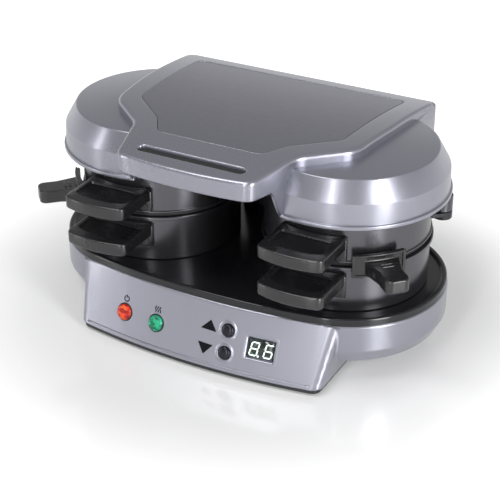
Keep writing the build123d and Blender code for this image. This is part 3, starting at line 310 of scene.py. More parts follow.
def settle(piece):
    """Flat faces keep flat shading beside their rounded edges; modifiers applied."""
    weigh = piece.modifiers.new("shading", "WEIGHTED_NORMAL")
    weigh.weight = 50
    weigh.keep_sharp = True
    graph = bpy.context.evaluated_depsgraph_get()
    solid = bpy.data.meshes.new_from_object(piece.evaluated_get(graph))
    piece.modifiers.clear()
    piece.data = solid


SILVER = ("silver_shell", silver)
softened("base_housing", "base_shell", "base", SILVER, 1.6)

# ---- Bottom cover, feet, screws and cord inlet ------------------------------------
# Black moulded cover screwed on from below, four rubber feet, and the collar of the
# cord inlet at the back.
black = Finish("black_moulding", IOR=1.47)
grain = black.cloud(900.0, 2.0)
black.set("Base Color", black.tint(black.cloud(25.0), (0.010, 0.010, 0.012), (0.022, 0.022, 0.025)))
black.set("Roughness", 0.3 + 0.16 * black.cloud(40.0))
black.relief(grain, 0.2, 0.00008)
BLACK = ("black_moulding", black)
softened("bottom_cover", "cover_tray", "base", BLACK, 0.6)
softened("cord_gland", "inlet_collar", "base", BLACK, 0.5)

rubber = Finish("foot_rubber", IOR=1.5)
rubber.set("Base Color", rubber.tint(rubber.cloud(120.0), (0.012, 0.012, 0.012), (0.03, 0.03, 0.03)))
rubber.set("Roughness", 0.75 + 0.15 * rubber.cloud(300.0))
rubber.relief(rubber.cloud(1500.0), 0.3, 0.0001)
RUBBER = ("rubber_feet", rubber)
softened("rubber_feet", "feet_pads", "base", RUBBER, 0.5)

steel = Finish("zinc_steel", Metallic=1.0)
steel.set("Base Color", steel.tint(steel.cloud(200.0), (0.36, 0.36, 0.37), (0.52, 0.52, 0.53)))
steel.set("Roughness", 0.28 + 0.2 * steel.cloud(500.0))
steel.relief(steel.cloud(2500.0), 0.15, 0.00003)


def dressed(node, finish):
    """A CAD piece that keeps its own shape, in its finish."""
    slots = frame["nodes"][node].data.materials
    if len(slots):
        for place in range(len(slots)):
            slots[place] = finish.material
    else:
        slots.append(finish.material)


for node in ("hinge_shaft", "shaft_clips"):
    dressed(node, steel)
for side in ("right", "left"):
    dressed("plate_pivot_pin_" + side, steel)

studs_tree = bpy.data.node_groups.new("studs", "GeometryNodeTree")
STUD_SIZES = ("Head Radius", "Head Height", "Edge", "Recess Radius", "Recess Depth",
              "Shank Radius", "Shank Length")
stud_inputs = {"Places": studs_tree.interface.new_socket(
    "Places", in_out="INPUT", socket_type="NodeSocketGeometry")}
for label in STUD_SIZES:
    stud_inputs[label] = studs_tree.interface.new_socket(
        label, in_out="INPUT", socket_type="NodeSocketFloat")
stud_inputs["Finish"] = studs_tree.interface.new_socket(
    "Finish", in_out="INPUT", socket_type="NodeSocketMaterial")
studs_tree.interface.new_socket("Studs", in_out="OUTPUT", socket_type="NodeSocketGeometry")
sizes_in = studs_tree.nodes.new("NodeGroupInput").outputs
STUD_SIDES = 32


def stud_node(kind, settings=None, **inputs):
    """A node of the stud tree; each input is a value or the output that feeds it."""
    node = studs_tree.nodes.new(kind)
    for label, value in (settings or {}).items():
        setattr(node, label, value)
    for label, value in inputs.items():
        socket = node.inputs[label.replace("_", " ")]
        if isinstance(value, bpy.types.NodeSocket):
            studs_tree.links.new(value, socket)
        else:
            socket.default_value = value
    return node.outputs


def sized(operation, first, second):
    node = studs_tree.nodes.new("ShaderNodeMath")
    node.operation = operation
    for socket, value in zip(node.inputs, (first, second)):
        if isinstance(value, bpy.types.NodeSocket):
            studs_tree.links.new(value, socket)
        else:
            socket.default_value = value
    return node.outputs[0]


def drawn_up(block, picked, rise, share=None):
    """A face of the head drawn up, and its top narrowed to a share of its width."""
    grown = stud_node("GeometryNodeExtrudeMesh", {"mode": "FACES"}, Mesh=block,
                      Offset_Scale=rise, Individual=False, **picked)
    if share is None:
        return grown["Mesh"], {"Selection": grown["Top"]}
    narrowed = stud_node("GeometryNodeScaleElements", {"domain": "FACE"},
                         Geometry=grown["Mesh"], Selection=grown["Top"], Scale=share)
    return narrowed[0], {"Selection": grown["Top"]}


edge_in = sizes_in["Edge"]
top_radius = sized("SUBTRACT", sizes_in["Head Radius"], edge_in)
disc = stud_node("GeometryNodeMeshCircle", {"fill_type": "NGON"},
                 Vertices=STUD_SIDES, Radius=sizes_in["Head Radius"])["Mesh"]
head, top = drawn_up(disc, {}, sized("SUBTRACT", sizes_in["Head Height"], edge_in))
head, top = drawn_up(head, top, sized("MULTIPLY", edge_in, 0.7),
                     sized("DIVIDE", sized("ADD", top_radius, sized("MULTIPLY", edge_in, 0.7)),
                           sizes_in["Head Radius"]))
head, top = drawn_up(head, top, sized("MULTIPLY", edge_in, 0.3),
                     sized("DIVIDE", top_radius,
                           sized("ADD", top_radius, sized("MULTIPLY", edge_in, 0.7))))
head, top = drawn_up(head, top, 0.0, sized("DIVIDE", sizes_in["Recess Radius"], top_radius))
head, top = drawn_up(head, top, sized("MULTIPLY", sizes_in["Recess Depth"], -1.0))
under_head = stud_node("GeometryNodeFlipFaces", Mesh=disc)["Mesh"]
shank = stud_node("GeometryNodeMeshCylinder", Vertices=STUD_SIDES, Radius=sizes_in["Shank Radius"],
                  Depth=sizes_in["Shank Length"])["Mesh"]
drop = studs_tree.nodes.new("ShaderNodeCombineXYZ")
studs_tree.links.new(sized("MULTIPLY", sizes_in["Shank Length"], -0.5), drop.inputs["Z"])
shank = stud_node("GeometryNodeTransform", Geometry=shank, Translation=drop.outputs[0])[0]
stud = studs_tree.nodes.new("GeometryNodeJoinGeometry")
for part in (head, under_head, shank):
    studs_tree.links.new(part, stud.inputs[0])
facing = stud_node("GeometryNodeInputNamedAttribute", {"data_type": "FLOAT_VECTOR"}, Name="facing")
turn = stud_node("FunctionNodeAlignRotationToVector", {"axis": "Z"}, Vector=facing["Attribute"])
studs_set = stud_node("GeometryNodeInstanceOnPoints", Points=sizes_in["Places"],
                      Instance=stud.outputs[0], Rotation=turn["Rotation"])
studs_real = stud_node("GeometryNodeRealizeInstances", Geometry=studs_set["Instances"])
studs_clad = stud_node("GeometryNodeSetMaterial", Geometry=studs_real[0],
                       Material=sizes_in["Finish"])
studs_tree.links.new(studs_clad[0], studs_tree.nodes.new("NodeGroupOutput").inputs[0])


def studs(name, body, slot, node, places, sizes):
    """Like screws or rivets, each at a place about the stations and facing a way."""
    points = bpy.data.meshes.new(name + "_places")
    points.from_pydata([(x * MM, (y + STATION_Y) * MM, z * MM) for (x, y, z), _ in places], [], [])
    ways = points.attributes.new("facing", "FLOAT_VECTOR", "POINT")
    for way, (_, facing_way) in zip(ways.data, places):
        way.vector = facing_way
    piece = bpy.data.objects.new(name, points)
    scene.collection.objects.link(piece)
    repeat = piece.modifiers.new("studs", "NODES")
    repeat.node_group = studs_tree
    for label, size in zip(STUD_SIZES, sizes):
        repeat[stud_inputs[label].identifier] = size * MM
    repeat[stud_inputs["Finish"].identifier] = slot[1].material
    graph = bpy.context.evaluated_depsgraph_get()
    solid = bpy.data.meshes.new_from_object(piece.evaluated_get(graph))
    piece.modifiers.clear()
    shape = bmesh.new()
    shape.from_mesh(solid)
    bmesh.ops.remove_doubles(shape, verts=shape.verts, dist=0.000002)
    bmesh.ops.recalc_face_normals(shape, faces=shape.faces)
    shape.to_mesh(solid)
    shape.free()
    solid.shade_flat()
    piece.data = solid
    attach(piece, body)
    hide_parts(node)


STEEL = ("steel_fasteners", steel)
DOWN = (0, 0, -1)
SCREW = (3.2, 2.2, 0.6, 1.2, 1.1, 1.7)
studs("cover_screw_set", "base", STEEL, "cover_screws",
      [((x, y, 4.7), DOWN) for x in (-28, 28) for y in (-62, 62)], (*SCREW, 15.1))

# ---- Deck and lower heating plates -----------------------------------------------
# The deck is a gloss black moulding with a rolled lip, lying in the silver rim. Each
# station has a dished aluminium plate with a dark non-stick coat.
deck_gloss = Finish("deck_gloss_black", IOR=1.5)
deck_gloss.set("Base Color", deck_gloss.tint(
    deck_gloss.cloud(20.0), (0.008, 0.008, 0.010), (0.016, 0.016, 0.019)))
deck_gloss.set("Roughness", 0.12 + 0.1 * deck_gloss.cloud(30.0))
deck_gloss.relief(deck_gloss.cloud(350.0), 0.1, 0.00005)
DECK = ("deck_coating", deck_gloss)
softened("deck_tray", "deck_top", "base", DECK, 0.7)

nonstick = Finish("nonstick_coat", Metallic=0.4, IOR=1.5)
speck = nonstick.cloud(1800.0, 1.0)
nonstick.set("Base Color", nonstick.tint(speck, (0.020, 0.020, 0.022), (0.05, 0.05, 0.054)))
nonstick.set("Roughness", 0.33 + 0.12 * nonstick.cloud(90.0))
nonstick.relief(speck, 0.2, 0.00006)
PLATE = ("plate_coating", nonstick)
for side in ("right", "left"):
    softened("lower_heating_plate_" + side, "lower_plate_" + side, "base", PLATE, 0.4)
    softened("upper_heating_plate_" + side, "upper_plate_" + side, "lid", PLATE, 0.4)
    for node in ("lower_element_", "upper_element_"):
        dressed(node + side, steel)

# ---- Parts inside the base ----------------------------------------------------------
# Green laminate board with its switches, lamps, buzzer and display, and the ceramic
# thermostats, fuses and terminal block.
laminate = Finish("board_laminate", IOR=1.5)
laminate.set("Base Color", laminate.tint(laminate.cloud(400.0), (0.01, 0.09, 0.03), (0.02, 0.15, 0.05)))
laminate.set("Roughness", 0.4 + 0.15 * laminate.cloud(300.0))
ceramic = Finish("white_ceramic", IOR=1.55)
ceramic.set("Base Color", ceramic.tint(ceramic.cloud(200.0), (0.70, 0.68, 0.63), (0.8, 0.79, 0.75)))
ceramic.set("Roughness", 0.3 + 0.2 * ceramic.cloud(300.0))
for row in frame["record"]["subparts"]:
    if row["material_slot"] == "board_laminate":
        dressed(row["node"], laminate)
    if row["material_slot"] == "white_ceramic":
        dressed(row["node"], ceramic)
for node in ("board_ribs", "button_switches", "buzzer"):
    dressed(node, black)
display_black = Finish("display_black", Roughness=0.25)
display_black.set("Base Color", display_black.tint(
    display_black.cloud(300.0), (0.006, 0.010, 0.008), (0.012, 0.018, 0.014)))
dressed("display_module", display_black)
clear = Finish("clear_moulding", Roughness=0.05, IOR=1.49)
clear.set("Base Color", clear.tint(clear.cloud(80.0), (0.85, 0.85, 0.85), (0.95, 0.95, 0.95)))
dressed("indicator_lamps", clear)

# ---- Controls ---------------------------------------------------------------------
# Two faceted lamp lenses, two round push buttons with pad-printed arrows, and a tinted
# window over the two-figure timer, all let into the slanted panel.
PANEL_FOOT = 5.8
PANEL_HEAD = 56.0
FOOT_REACH = 108.0          # the bowed panel's reach at its foot and its head
HEAD_REACH = 89.5
BOW_R = 586.03
LEAN = math.atan((FOOT_REACH - HEAD_REACH) / (PANEL_HEAD - PANEL_FOOT))


def rounded(corners, closed=True, pitch=12.0):
    """Corners (x, y, radius) as a smooth run of points; arcs have a step per pitch."""
    points = []
    last = len(corners) - 1
    for place, (x, y, radius) in enumerate(corners):
        if radius == 0 or (not closed and place in (0, last)):
            points.append((x, y))
            continue
        corner = Vector((x, y))
        before = (Vector(corners[place - 1][:2]) - corner).normalized()
        after = (Vector(corners[(place + 1) % len(corners)][:2]) - corner).normalized()
        opening = before.angle(after)
        run = radius / math.tan(opening / 2)
        start = corner + before * run
        end = corner + after * run
        centre = corner + (before + after).normalized() * radius / math.sin(opening / 2)
        sweep = math.pi - opening
        steps = max(2, math.ceil(math.degrees(sweep) / pitch))
        first = start - centre
        turn = 1 if first.x * (end - centre).y - first.y * (end - centre).x > 0 else -1
        for step in range(steps + 1):
            angle = turn * sweep * step / steps
            points.append((
                centre.x + first.x * math.cos(angle) - first.y * math.sin(angle),
                centre.y + first.x * math.sin(angle) + first.y * math.cos(angle),
            ))
    return points


def finished(name, shape, body, slot, *nodes):
    """A closed shape, in millimetres about the stations, as a piece in metres."""
    bmesh.ops.recalc_face_normals(shape, faces=shape.faces)
    for point in shape.verts:
        point.co = Vector((point.co.x, point.co.y + STATION_Y, point.co.z)) * MM
    mesh = bpy.data.meshes.new(name)
    shape.to_mesh(mesh)
    shape.free()
    mesh.materials.append(slot[1].material)
    mesh.shade_smooth()
    piece = bpy.data.objects.new(name, mesh)
    scene.collection.objects.link(piece)
    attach(piece, body)
    if nodes:
        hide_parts(*nodes)
    return piece


def lofted(loops, caps=True):
    """Loops of the same number of points joined by faces, and both ends closed."""
    shape = bmesh.new()
    rows = [[shape.verts.new(point) for point in loop] for loop in loops]
    for lower, upper in zip(rows, rows[1:]):
        for here in range(len(lower)):
            after = (here + 1) % len(lower)
            shape.faces.new((lower[here], lower[after], upper[after], upper[here]))
    if caps:
        shape.faces.new(rows[0][::-1])
        shape.faces.new(rows[-1])
    return shape


def spread(points, pitch=1.5):
    """A closed outline with its points a given pitch apart."""
    dense = []
    for here, point in enumerate(points):
        start = Vector(point)
        run = Vector(points[(here + 1) % len(points)]) - start
        steps = max(1, round(run.length / pitch))
        dense += [tuple(start + run * step / steps) for step in range(steps)]
    return dense


def drawn_in(points, distance):
    """An outline, counter-clockwise, moved inwards by a distance."""
    moved = []
    for here, (x, y) in enumerate(points):
        before = points[here - 1]
        after = points[(here + 1) % len(points)]
        run = Vector((after[0] - before[0], after[1] - before[1])).normalized()
        moved.append((x - run.y * distance, y + run.x * distance))
    return moved


def on_panel(x, z, across, up, out):
    """A point by its offsets along the bowed panel, and out of it, from (x, z)."""
    x += across
    z += up * math.cos(LEAN)
    share = (z - PANEL_FOOT) / (PANEL_HEAD - PANEL_FOOT)
    turn = math.asin(x / BOW_R)
    y = -FOOT_REACH + (FOOT_REACH - HEAD_REACH) * share + BOW_R * (1 - math.cos(turn))
    return Vector((x, y, z)) + out * Vector((
        math.sin(turn), -math.cos(turn) * math.cos(LEAN), math.sin(LEAN)))


def plate_on_panel(outline, x, z, low, high, edge):
    """Loops of a thin plate on the panel with a rounded upper edge."""
    return [
        [on_panel(x, z, u, v, low) for u, v in outline],
        [on_panel(x, z, u, v, high - edge) for u, v in outline],
        [on_panel(x, z, u, v, high - edge * 0.3) for u, v in drawn_in(outline, edge * 0.3)],
        [on_panel(x, z, u, v, high) for u, v in drawn_in(outline, edge)],
    ]


def circle(radius, steps=48):
    return [(radius * math.cos(math.tau * k / steps), radius * math.sin(math.tau * k / steps))
            for k in range(steps)]


def ring_on_panel(name, x, z, profile, slot, *nodes):
    """A closed profile (radius, height) carried round a place on the panel."""
    loops = [[on_panel(x, z, u, v, out) for u, v in circle(radius)] for radius, out in profile]
    shape = lofted(loops + loops[:1], caps=False)
    bmesh.ops.remove_doubles(shape, verts=shape.verts, dist=0.001)
    finished(name, shape, "base", slot, *nodes)


def lens_finish(name, dark, mid, bright):
    """Clear coloured moulding with small facets, each painted a darker or brighter tone: painted
    glints.
    """
    lens = Finish(name, Roughness=0.06, IOR=1.49, Emission_Strength=0.1)
    # Each facet gets a tone from dark to bright: painted glints on the lens.
    painted_glint_cells = lens.add("ShaderNodeTexVoronoi", {}, {"Vector": lens.where(), "Scale": 420.0}, "Color")
    shade = lens.add("ShaderNodeSeparateColor", {}, {"Color": painted_glint_cells})
    ramp = {"stops": [(0.0, (*dark, 1)), (0.45, (*mid, 1)), (1.0, (*bright, 1))]}
    colour = lens.add("ShaderNodeValToRGB", ramp, {"Fac": shade})
    lens.set("Base Color", colour)
    lens.set("Emission Color", colour)
    height = lens.add("ShaderNodeTexVoronoi", {}, {"Vector": lens.where(), "Scale": 420.0})
    lens.relief(height, 0.5, 0.0005)
    return lens


red = lens_finish("red_lens", (0.22, 0.0, 0.0), (0.55, 0.02, 0.004), (0.85, 0.11, 0.02))
green = lens_finish("green_lens", (0.0, 0.10, 0.05), (0.0, 0.25, 0.12), (0.02, 0.50, 0.27))
RED_LENS = (-65.9, 27.4)
GREEN_LENS = (-34.6, 27.4)
softened("power_lens_red", "power_lens", "base", ("red_lens", red), 0.5)
softened("heat_lens_green", "heat_lens", "base", ("green_lens", green), 0.5)
seat_black = Finish("seat_black", IOR=1.47)
seat_black.set("Base Color", seat_black.tint(
    seat_black.cloud(300.0), (0.004, 0.004, 0.005), (0.01, 0.01, 0.012)))
seat_black.set("Roughness", 0.5 + 0.2 * seat_black.cloud(500.0))
SEAT = ("black_moulding", seat_black)
panel_ink = Finish("panel_ink", IOR=1.15)
panel_ink.set("Base Color", panel_ink.tint(
    panel_ink.cloud(700.0), (0.004, 0.004, 0.006), (0.012, 0.012, 0.016)))
panel_ink.set("Roughness", 0.5 + 0.2 * panel_ink.cloud(500.0))
INK = ("black_buttons", panel_ink)
for name, (x, z) in (("power", RED_LENS), ("heat", GREEN_LENS)):
    ring_on_panel(name + "_lens_bezel", x, z, [
        (6.3, -1.4), (6.3, 0.5), (6.45, 0.7), (7.2, 0.3), (7.5, -0.05), (7.5, -1.4)], SEAT)
    ring_on_panel(name + "_lens_seat", x, z, [
        (7.4, -1.4), (7.4, -0.1), (7.6, 0.06), (8.2, 0.04), (8.4, -0.05), (8.4, -1.4)], SILVER)

BEAD_Z = 9.2                # a fine bead runs along the panel's foot
BEAD = ((-1.0, -0.2), (-0.85, 0.25), (-0.4, 0.75), (0.4, 0.75), (0.85, 0.25), (1.0, -0.2))
finished("panel_bead", lofted([
    [on_panel(x, BEAD_Z, 0, up, out) for up, out in BEAD] for x in range(-102, 103, 4)
]), "base", SILVER)

BUTTON_X = 29.9
UP_Z = 37.7
DOWN_Z = 20.4
button_gloss = Finish("button_gloss", IOR=1.38)
button_gloss.set("Base Color", button_gloss.tint(
    button_gloss.cloud(200.0), (0.005, 0.005, 0.010), (0.012, 0.012, 0.020)))
button_gloss.set("Roughness", 0.14 + 0.08 * button_gloss.cloud(400.0))
button_gloss.relief(button_gloss.cloud(700.0), 0.15, 0.0001)
BUTTON = ("black_buttons", button_gloss)
CAP_PROFILE = (             # radius and height over the panel: a low dome
    (5.25, -3.6), (5.25, 1.1), (5.1, 1.6), (4.75, 2.05), (4.1, 2.4), (3.2, 2.7), (2.2, 2.88),
    (1.2, 2.97), (0.3, 3.0),
)
for name, z in (("up", UP_Z), ("down", DOWN_Z)):
    cap = lofted([[on_panel(BUTTON_X, z, u, v, out) for u, v in circle(radius)]
                  for radius, out in CAP_PROFILE])
    finished(name + "_button_cap", cap, name + "_button", BUTTON, name + "_button")
    ring_on_panel(name + "_button_seat", BUTTON_X, z, [
        (5.4, -1.8), (5.4, 0.1), (5.6, 0.3), (6.1, 0.5), (6.7, 0.45), (7.4, 0.2), (8.2, 0.05),
        (8.4, -0.05), (8.4, -1.8)], SILVER)
arrows = (
    ("up_arrow", UP_Z, [(-15.6, 5.0, 0.4), (-23.6, -3.2, 0.4), (-9.6, -3.8, 0.4)]),
    ("down_arrow", DOWN_Z, [(-24.2, 4.1, 0.4), (-18.2, -5.2, 0.4), (-10.8, 3.5, 0.4)]),
)
for name, z, corners in arrows:
    outline = spread(rounded(corners, pitch=20), 1.0)
    shape = lofted(plate_on_panel(outline, BUTTON_X, z, -0.2, 0.3, 0.15))
    finished(name, shape, "base", INK)

WINDOW = (58.9, 29.1)
PANE_HALF = (11.3, 7.9)
BEZEL_HALF = (12.7, 9.3)


def box_outline(half_width, half_height, corner=0.7):
    return spread(rounded([
        (-half_width, -half_height, corner), (half_width, -half_height, corner),
        (half_width, half_height, corner), (-half_width, half_height, corner),
    ], pitch=20), 1.0)


pane = lofted([
    [on_panel(*WINDOW, u, v, out) for u, v in box_outline(*PANE_HALF)]
    for out in (-3.2, -1.5)
])
window_tint = Finish("window_tint", IOR=1.5, Coat_Weight=0.6, Coat_Roughness=0.03)
window_tint.set("Base Color", window_tint.tint(
    window_tint.cloud(90.0), (0.002, 0.006, 0.005), (0.005, 0.013, 0.010)))
window_tint.set("Roughness", 0.08 + 0.06 * window_tint.cloud(200.0))
finished("window_pane", pane, "base", ("clear_window", window_tint), "display_window")
steps = ((-3.0, 0.0), (-1.45, 0.0), (-0.7, 0.55), (-0.12, 1.2), (0.04, 1.5), (0.06, 2.6),
         (0.03, 3.2), (-0.08, 3.4), (-3.0, 3.4))


def frame_outline(grow):
    """Outline round the pane with the same number of points at every size."""
    width, height = PANE_HALF[0] + grow, PANE_HALF[1] + grow
    corner = 0.8 + 0.5 * grow
    points = []
    for side, (sx, sy) in enumerate(((1, -1), (1, 1), (-1, 1), (-1, -1))):
        for step in range(7):
            angle = math.radians(-90 + 90 * side + 15 * step)
            points.append((sx * (width - corner) + corner * math.cos(angle),
                           sy * (height - corner) + corner * math.sin(angle)))
    return points


rows = [[on_panel(*WINDOW, u, v, out) for u, v in frame_outline(grow)] for out, grow in steps]
finished("window_bezel", lofted(rows + rows[:1], caps=False), "base", SILVER, "display_window")

figure_glow = Finish("figure_glow", Roughness=0.4, Emission_Strength=0.9)
lit_tone = figure_glow.tint(figure_glow.cloud(900.0), (0.62, 0.85, 0.72), (0.9, 1.0, 0.93))
figure_glow.set("Base Color", lit_tone)
figure_glow.set("Emission Color", lit_tone)
FIGURE_W = 6.1
FIGURE_H = 10.6
FIGURE_DROP = 0.7
BAR = 1.05
SLANT = math.tan(math.radians(9))
BARS = {                    # from, to, in half widths and half heights
    "a": ((-1, 1), (1, 1)), "b": ((1, 1), (1, 0)), "c": ((1, 0), (1, -1)),
    "d": ((-1, -1), (1, -1)), "e": ((-1, 0), (-1, -1)), "f": ((-1, 1), (-1, 0)),
    "g": ((-1, 0), (1, 0)),
}


def figure_bar(shape, middle, start, end):
    """One six-sided bar of a figure, raised a little off the pane."""
    ends = [Vector((x * FIGURE_W / 2, y * FIGURE_H / 2)) for x, y in (start, end)]
    run = (ends[1] - ends[0]).normalized()
    side = Vector((-run.y, run.x)) * BAR / 2
    tip = run * BAR / 2
    near, far = ends[0] + run * 0.2, ends[1] - run * 0.2
    outline = [near, near + tip - side, far - tip - side, far, far - tip + side, near + tip + side]
    rows = []
    for out in (-1.6, -1.38):
        rows.append([
            shape.verts.new(on_panel(
                *WINDOW, middle + point.x + point.y * SLANT, point.y - FIGURE_DROP, out))
            for point in outline
        ])
    for here in range(6):
        after = (here + 1) % 6
        shape.faces.new((rows[0][here], rows[0][after], rows[1][after], rows[1][here]))
    shape.faces.new(rows[0][::-1])
    shape.faces.new(rows[1])


figures = bmesh.new()
for middle, lit_bars in ((-5.4, "abcdefg"), (6.6, "acdefg")):
    for bar in lit_bars:
        figure_bar(figures, middle, *BARS[bar])
dot = lofted([[on_panel(*WINDOW, -1.6 + u, -6.1 + v, out) for u, v in circle(0.8, 12)]
              for out in (-1.6, -1.38)])
dot_mesh = bpy.data.meshes.new("dot")
dot.to_mesh(dot_mesh)
dot.free()
figures.from_mesh(dot_mesh)
finished("timer_figures", figures, "base", ("clear_window", figure_glow))


def pad_print(name, x, z, strokes, width):
    """Thin ink lines laid on the panel, each a closed strip."""
    shape = bmesh.new()
    for stroke in strokes:
        rows = []
        for here, (u, v) in enumerate(stroke):
            before = stroke[max(0, here - 1)]
            after = stroke[min(len(stroke) - 1, here + 1)]
            run = Vector((after[0] - before[0], after[1] - before[1])).normalized()
            a = (u - run.y * width / 2, v + run.x * width / 2)
            b = (u + run.y * width / 2, v - run.x * width / 2)
            rows.append([shape.verts.new(on_panel(x, z, *place, out))
                         for place, out in ((a, -0.1), (b, -0.1), (b, 0.06), (a, 0.06))])
        for lower, upper in zip(rows, rows[1:]):
            for k in range(4):
                after = (k + 1) % 4
                shape.faces.new((lower[k], lower[after], upper[after], upper[k]))
        shape.faces.new(rows[0][::-1])
        shape.faces.new(rows[-1])
    finished(name, shape, "base", INK)


SYMBOL_RISE = 10.6
arc = [math.radians(120 + 300 * k / 20) for k in range(21)]
pad_print("power_symbol", RED_LENS[0], RED_LENS[1] + SYMBOL_RISE, [
    [(2.3 * math.cos(a), 2.3 * math.sin(a)) for a in arc], [(0, 0.5), (0, 3.2)]], 0.95)
waves = [[(off + 0.5 * math.sin(math.tau * k / 12), -2.5 + 5.0 * k / 14) for k in range(15)]
         for off in (-2.1, 0, 2.1)]
pad_print("heat_symbol", GREEN_LENS[0], GREEN_LENS[1] + SYMBOL_RISE, waves, 0.95)

# ---- Rear hinge ----------------------------------------------------------------------
# Black tower on the rear bay of the base; the lid and the rings turn on its shaft.
softened("hinge_tower", "tower_block", "base", BLACK, 1.0)

# ---- Cooking rings and their grips ---------------------------------------------------
# Two cast rings at each station, in dark non-stick coat, stacked with the sliding
# plate between them. Each carries a black moulded grip on a riveted bracket.
cast = Finish("ring_coat", Metallic=0.9, IOR=1.5)
cast_speck = cast.cloud(1500.0, 1.0)
cast.set("Base Color", cast.tint(cast_speck, (0.105, 0.103, 0.115), (0.145, 0.143, 0.158)))
cast.set("Roughness", 0.2 + 0.07 * cast.cloud(30.0))
cast.relief(cast_speck, 0.03, 0.00003)
CAST = ("ring_coating", cast)
grip_black = Finish("grip_black", Metallic=0.1, IOR=1.65)
grip_black.set("Base Color", grip_black.tint(
    grip_black.cloud(30.0), (0.010, 0.0098, 0.011), (0.016, 0.0155, 0.0175)))
grip_black.set("Roughness", 0.24 + 0.06 * grip_black.cloud(60.0))
grip_black.relief(grip_black.cloud(500.0, 1.0), 0.03, 0.00003)
GRIP = ("black_handles", grip_black)
for side in ("right", "left"):
    softened("bottom_ring_" + side, "bottom_casting_" + side, "bottom_ring_" + side, CAST, 0.45)
    softened("top_ring_" + side, "top_casting_" + side, "top_ring_" + side, CAST, 0.45)


RING_R = 66.0
GRIP_HALF = 27.5
GRIP_T = 10.8
BRACKET_T = 3.6
BRACKET_H = 18.4
BRACKET_DROP = 1.6
BRACKET_SPAN = 24.4         # degrees each side of the front
RIVET_TURN = math.radians(19)
RIVET = (3.6, 1.0, 0.6, 0.9, 0.2, 2.2, 3.6)


def by_angle(points, count, middle):
    """A closed outline as seen in equal angles from a point inside it."""
    dense = spread(points, 0.25)
    rays = sorted((math.atan2(y - middle[1], x - middle[0]), x, y) for x, y in dense)
    seen_at = []
    place = 0
    for step in range(count):
        angle = -math.pi + math.tau * step / count
        while place < len(rays) - 1 and rays[place][0] < angle:
            place += 1
        seen_at.append(rays[place][1:])
    return seen_at


def at_station(hand, points, z):
    return [(hand * STATION_X + x, y, z) for x, y in points]


def bent_plate(shape, hand, radii, heights, first, last, edge=0.7, steps=24):
    """A plate bent round a station between two angles, its long edges rounded."""
    (near, far), (foot, head) = radii, heights
    section = rounded([(near, foot, edge), (far, foot, edge), (far, head, edge),
                       (near, head, edge)], pitch=30)
    rows = []
    for step in range(steps + 1):
        angle = math.radians(first + (last - first) * step / steps)
        rows.append([
            shape.verts.new((hand * (STATION_X + r * math.sin(angle)), -r * math.cos(angle), z))
            for r, z in section
        ])
    for lower, upper in zip(rows, rows[1:]):
        for k in range(len(section)):
            after = (k + 1) % len(section)
            shape.faces.new((lower[k], lower[after], upper[after], upper[k]))
    shape.faces.new(rows[0][::-1])
    shape.faces.new(rows[-1])


def joined(shape, other):
    """Another closed shape put into the first."""
    mesh = bpy.data.meshes.new("joined")
    other.to_mesh(mesh)
    other.free()
    shape.from_mesh(mesh)
    bpy.data.meshes.remove(mesh)


side_x = RING_R * math.sin(math.radians(BRACKET_SPAN))
hug = [(RING_R * math.sin(math.radians(a)), -RING_R * math.cos(math.radians(a)), 0)
       for a in (20, 15, 10, 5, 0, -5, -10, -15, -20)]
front_edge = [(x, -104.0 - 4.5 * (1 - (x / GRIP_HALF) ** 2), 0) for x in (-18, -12, -6, 0, 6, 12, 18)]
grip_plan = by_angle(rounded(
    [(-GRIP_HALF, -104.0, 5.5)] + front_edge + [(GRIP_HALF, -104.0, 5.5), (side_x, -60.2, 0)]
    + hug + [(-side_x, -60.2, 0)], pitch=9), 220, (0, -88))
pocket_edge = [(x, -95.0 - 4.0 * (1 - (x / GRIP_HALF) ** 2), 0) for x in (-14, -7, 0, 7, 14)]
pocket_plan = by_angle(rounded(
    [(-22.5, -94.6, 2.5)] + pocket_edge + [(22.5, -94.6, 2.5), (22.5, -73.0, 3.0), (-22.5, -73.0, 3.0)],
    pitch=15), 220, (0, -88))


def grip(name, hand, top, body, node):
    """A bowed grip with a shallow thumb pocket, and the bracket that hugs the ring."""
    loops = [
        at_station(hand, drawn_in(grip_plan, 1.6), top - GRIP_T),
        at_station(hand, drawn_in(grip_plan, 0.9), top - GRIP_T + 0.15),
        at_station(hand, drawn_in(grip_plan, 0.3), top - GRIP_T + 0.7),
        at_station(hand, grip_plan, top - GRIP_T + 1.6),
        at_station(hand, grip_plan, top - 1.7),
        at_station(hand, drawn_in(grip_plan, 0.25), top - 0.9),
        at_station(hand, drawn_in(grip_plan, 0.8), top - 0.3),
        at_station(hand, drawn_in(grip_plan, 1.7), top),
        at_station(hand, drawn_in(pocket_plan, -0.9), top),
        at_station(hand, drawn_in(pocket_plan, -0.3), top + 0.25),
        at_station(hand, pocket_plan, top + 0.1),
        at_station(hand, drawn_in(pocket_plan, 0.4), top - 0.7),
        at_station(hand, drawn_in(pocket_plan, 1.1), top - 1.35),
        at_station(hand, drawn_in(pocket_plan, 2.2), top - 1.4),
    ]
    shape = lofted(loops)
    head = top - BRACKET_DROP
    bent_plate(shape, hand, (RING_R + 0.02, RING_R + BRACKET_T), (head - BRACKET_H, head),
               -BRACKET_SPAN, BRACKET_SPAN)
    finished(name, shape, body, GRIP, node)


for side, hand in (("right", 1), ("left", -1)):
    grip("lower_grip_" + side, hand, 94.4, "bottom_ring_" + side, "bottom_ring_handle_" + side)
    grip("upper_grip_" + side, hand, 125.8, "top_ring_" + side, "top_ring_handle_" + side)
    for ring, middle in (("bottom_ring_", 79.0), ("top_ring_", 110.4)):
        places = []
        for turn in (-RIVET_TURN, RIVET_TURN):
            way = (math.sin(turn), -math.cos(turn), 0)
            reach = RING_R + BRACKET_T
            places.append(((hand * STATION_X + way[0] * reach, way[1] * reach, middle), way))
        studs(ring + "rivet_set_" + side, ring + side, BLACK, ring + "rivets_" + side,
              places, RIVET)

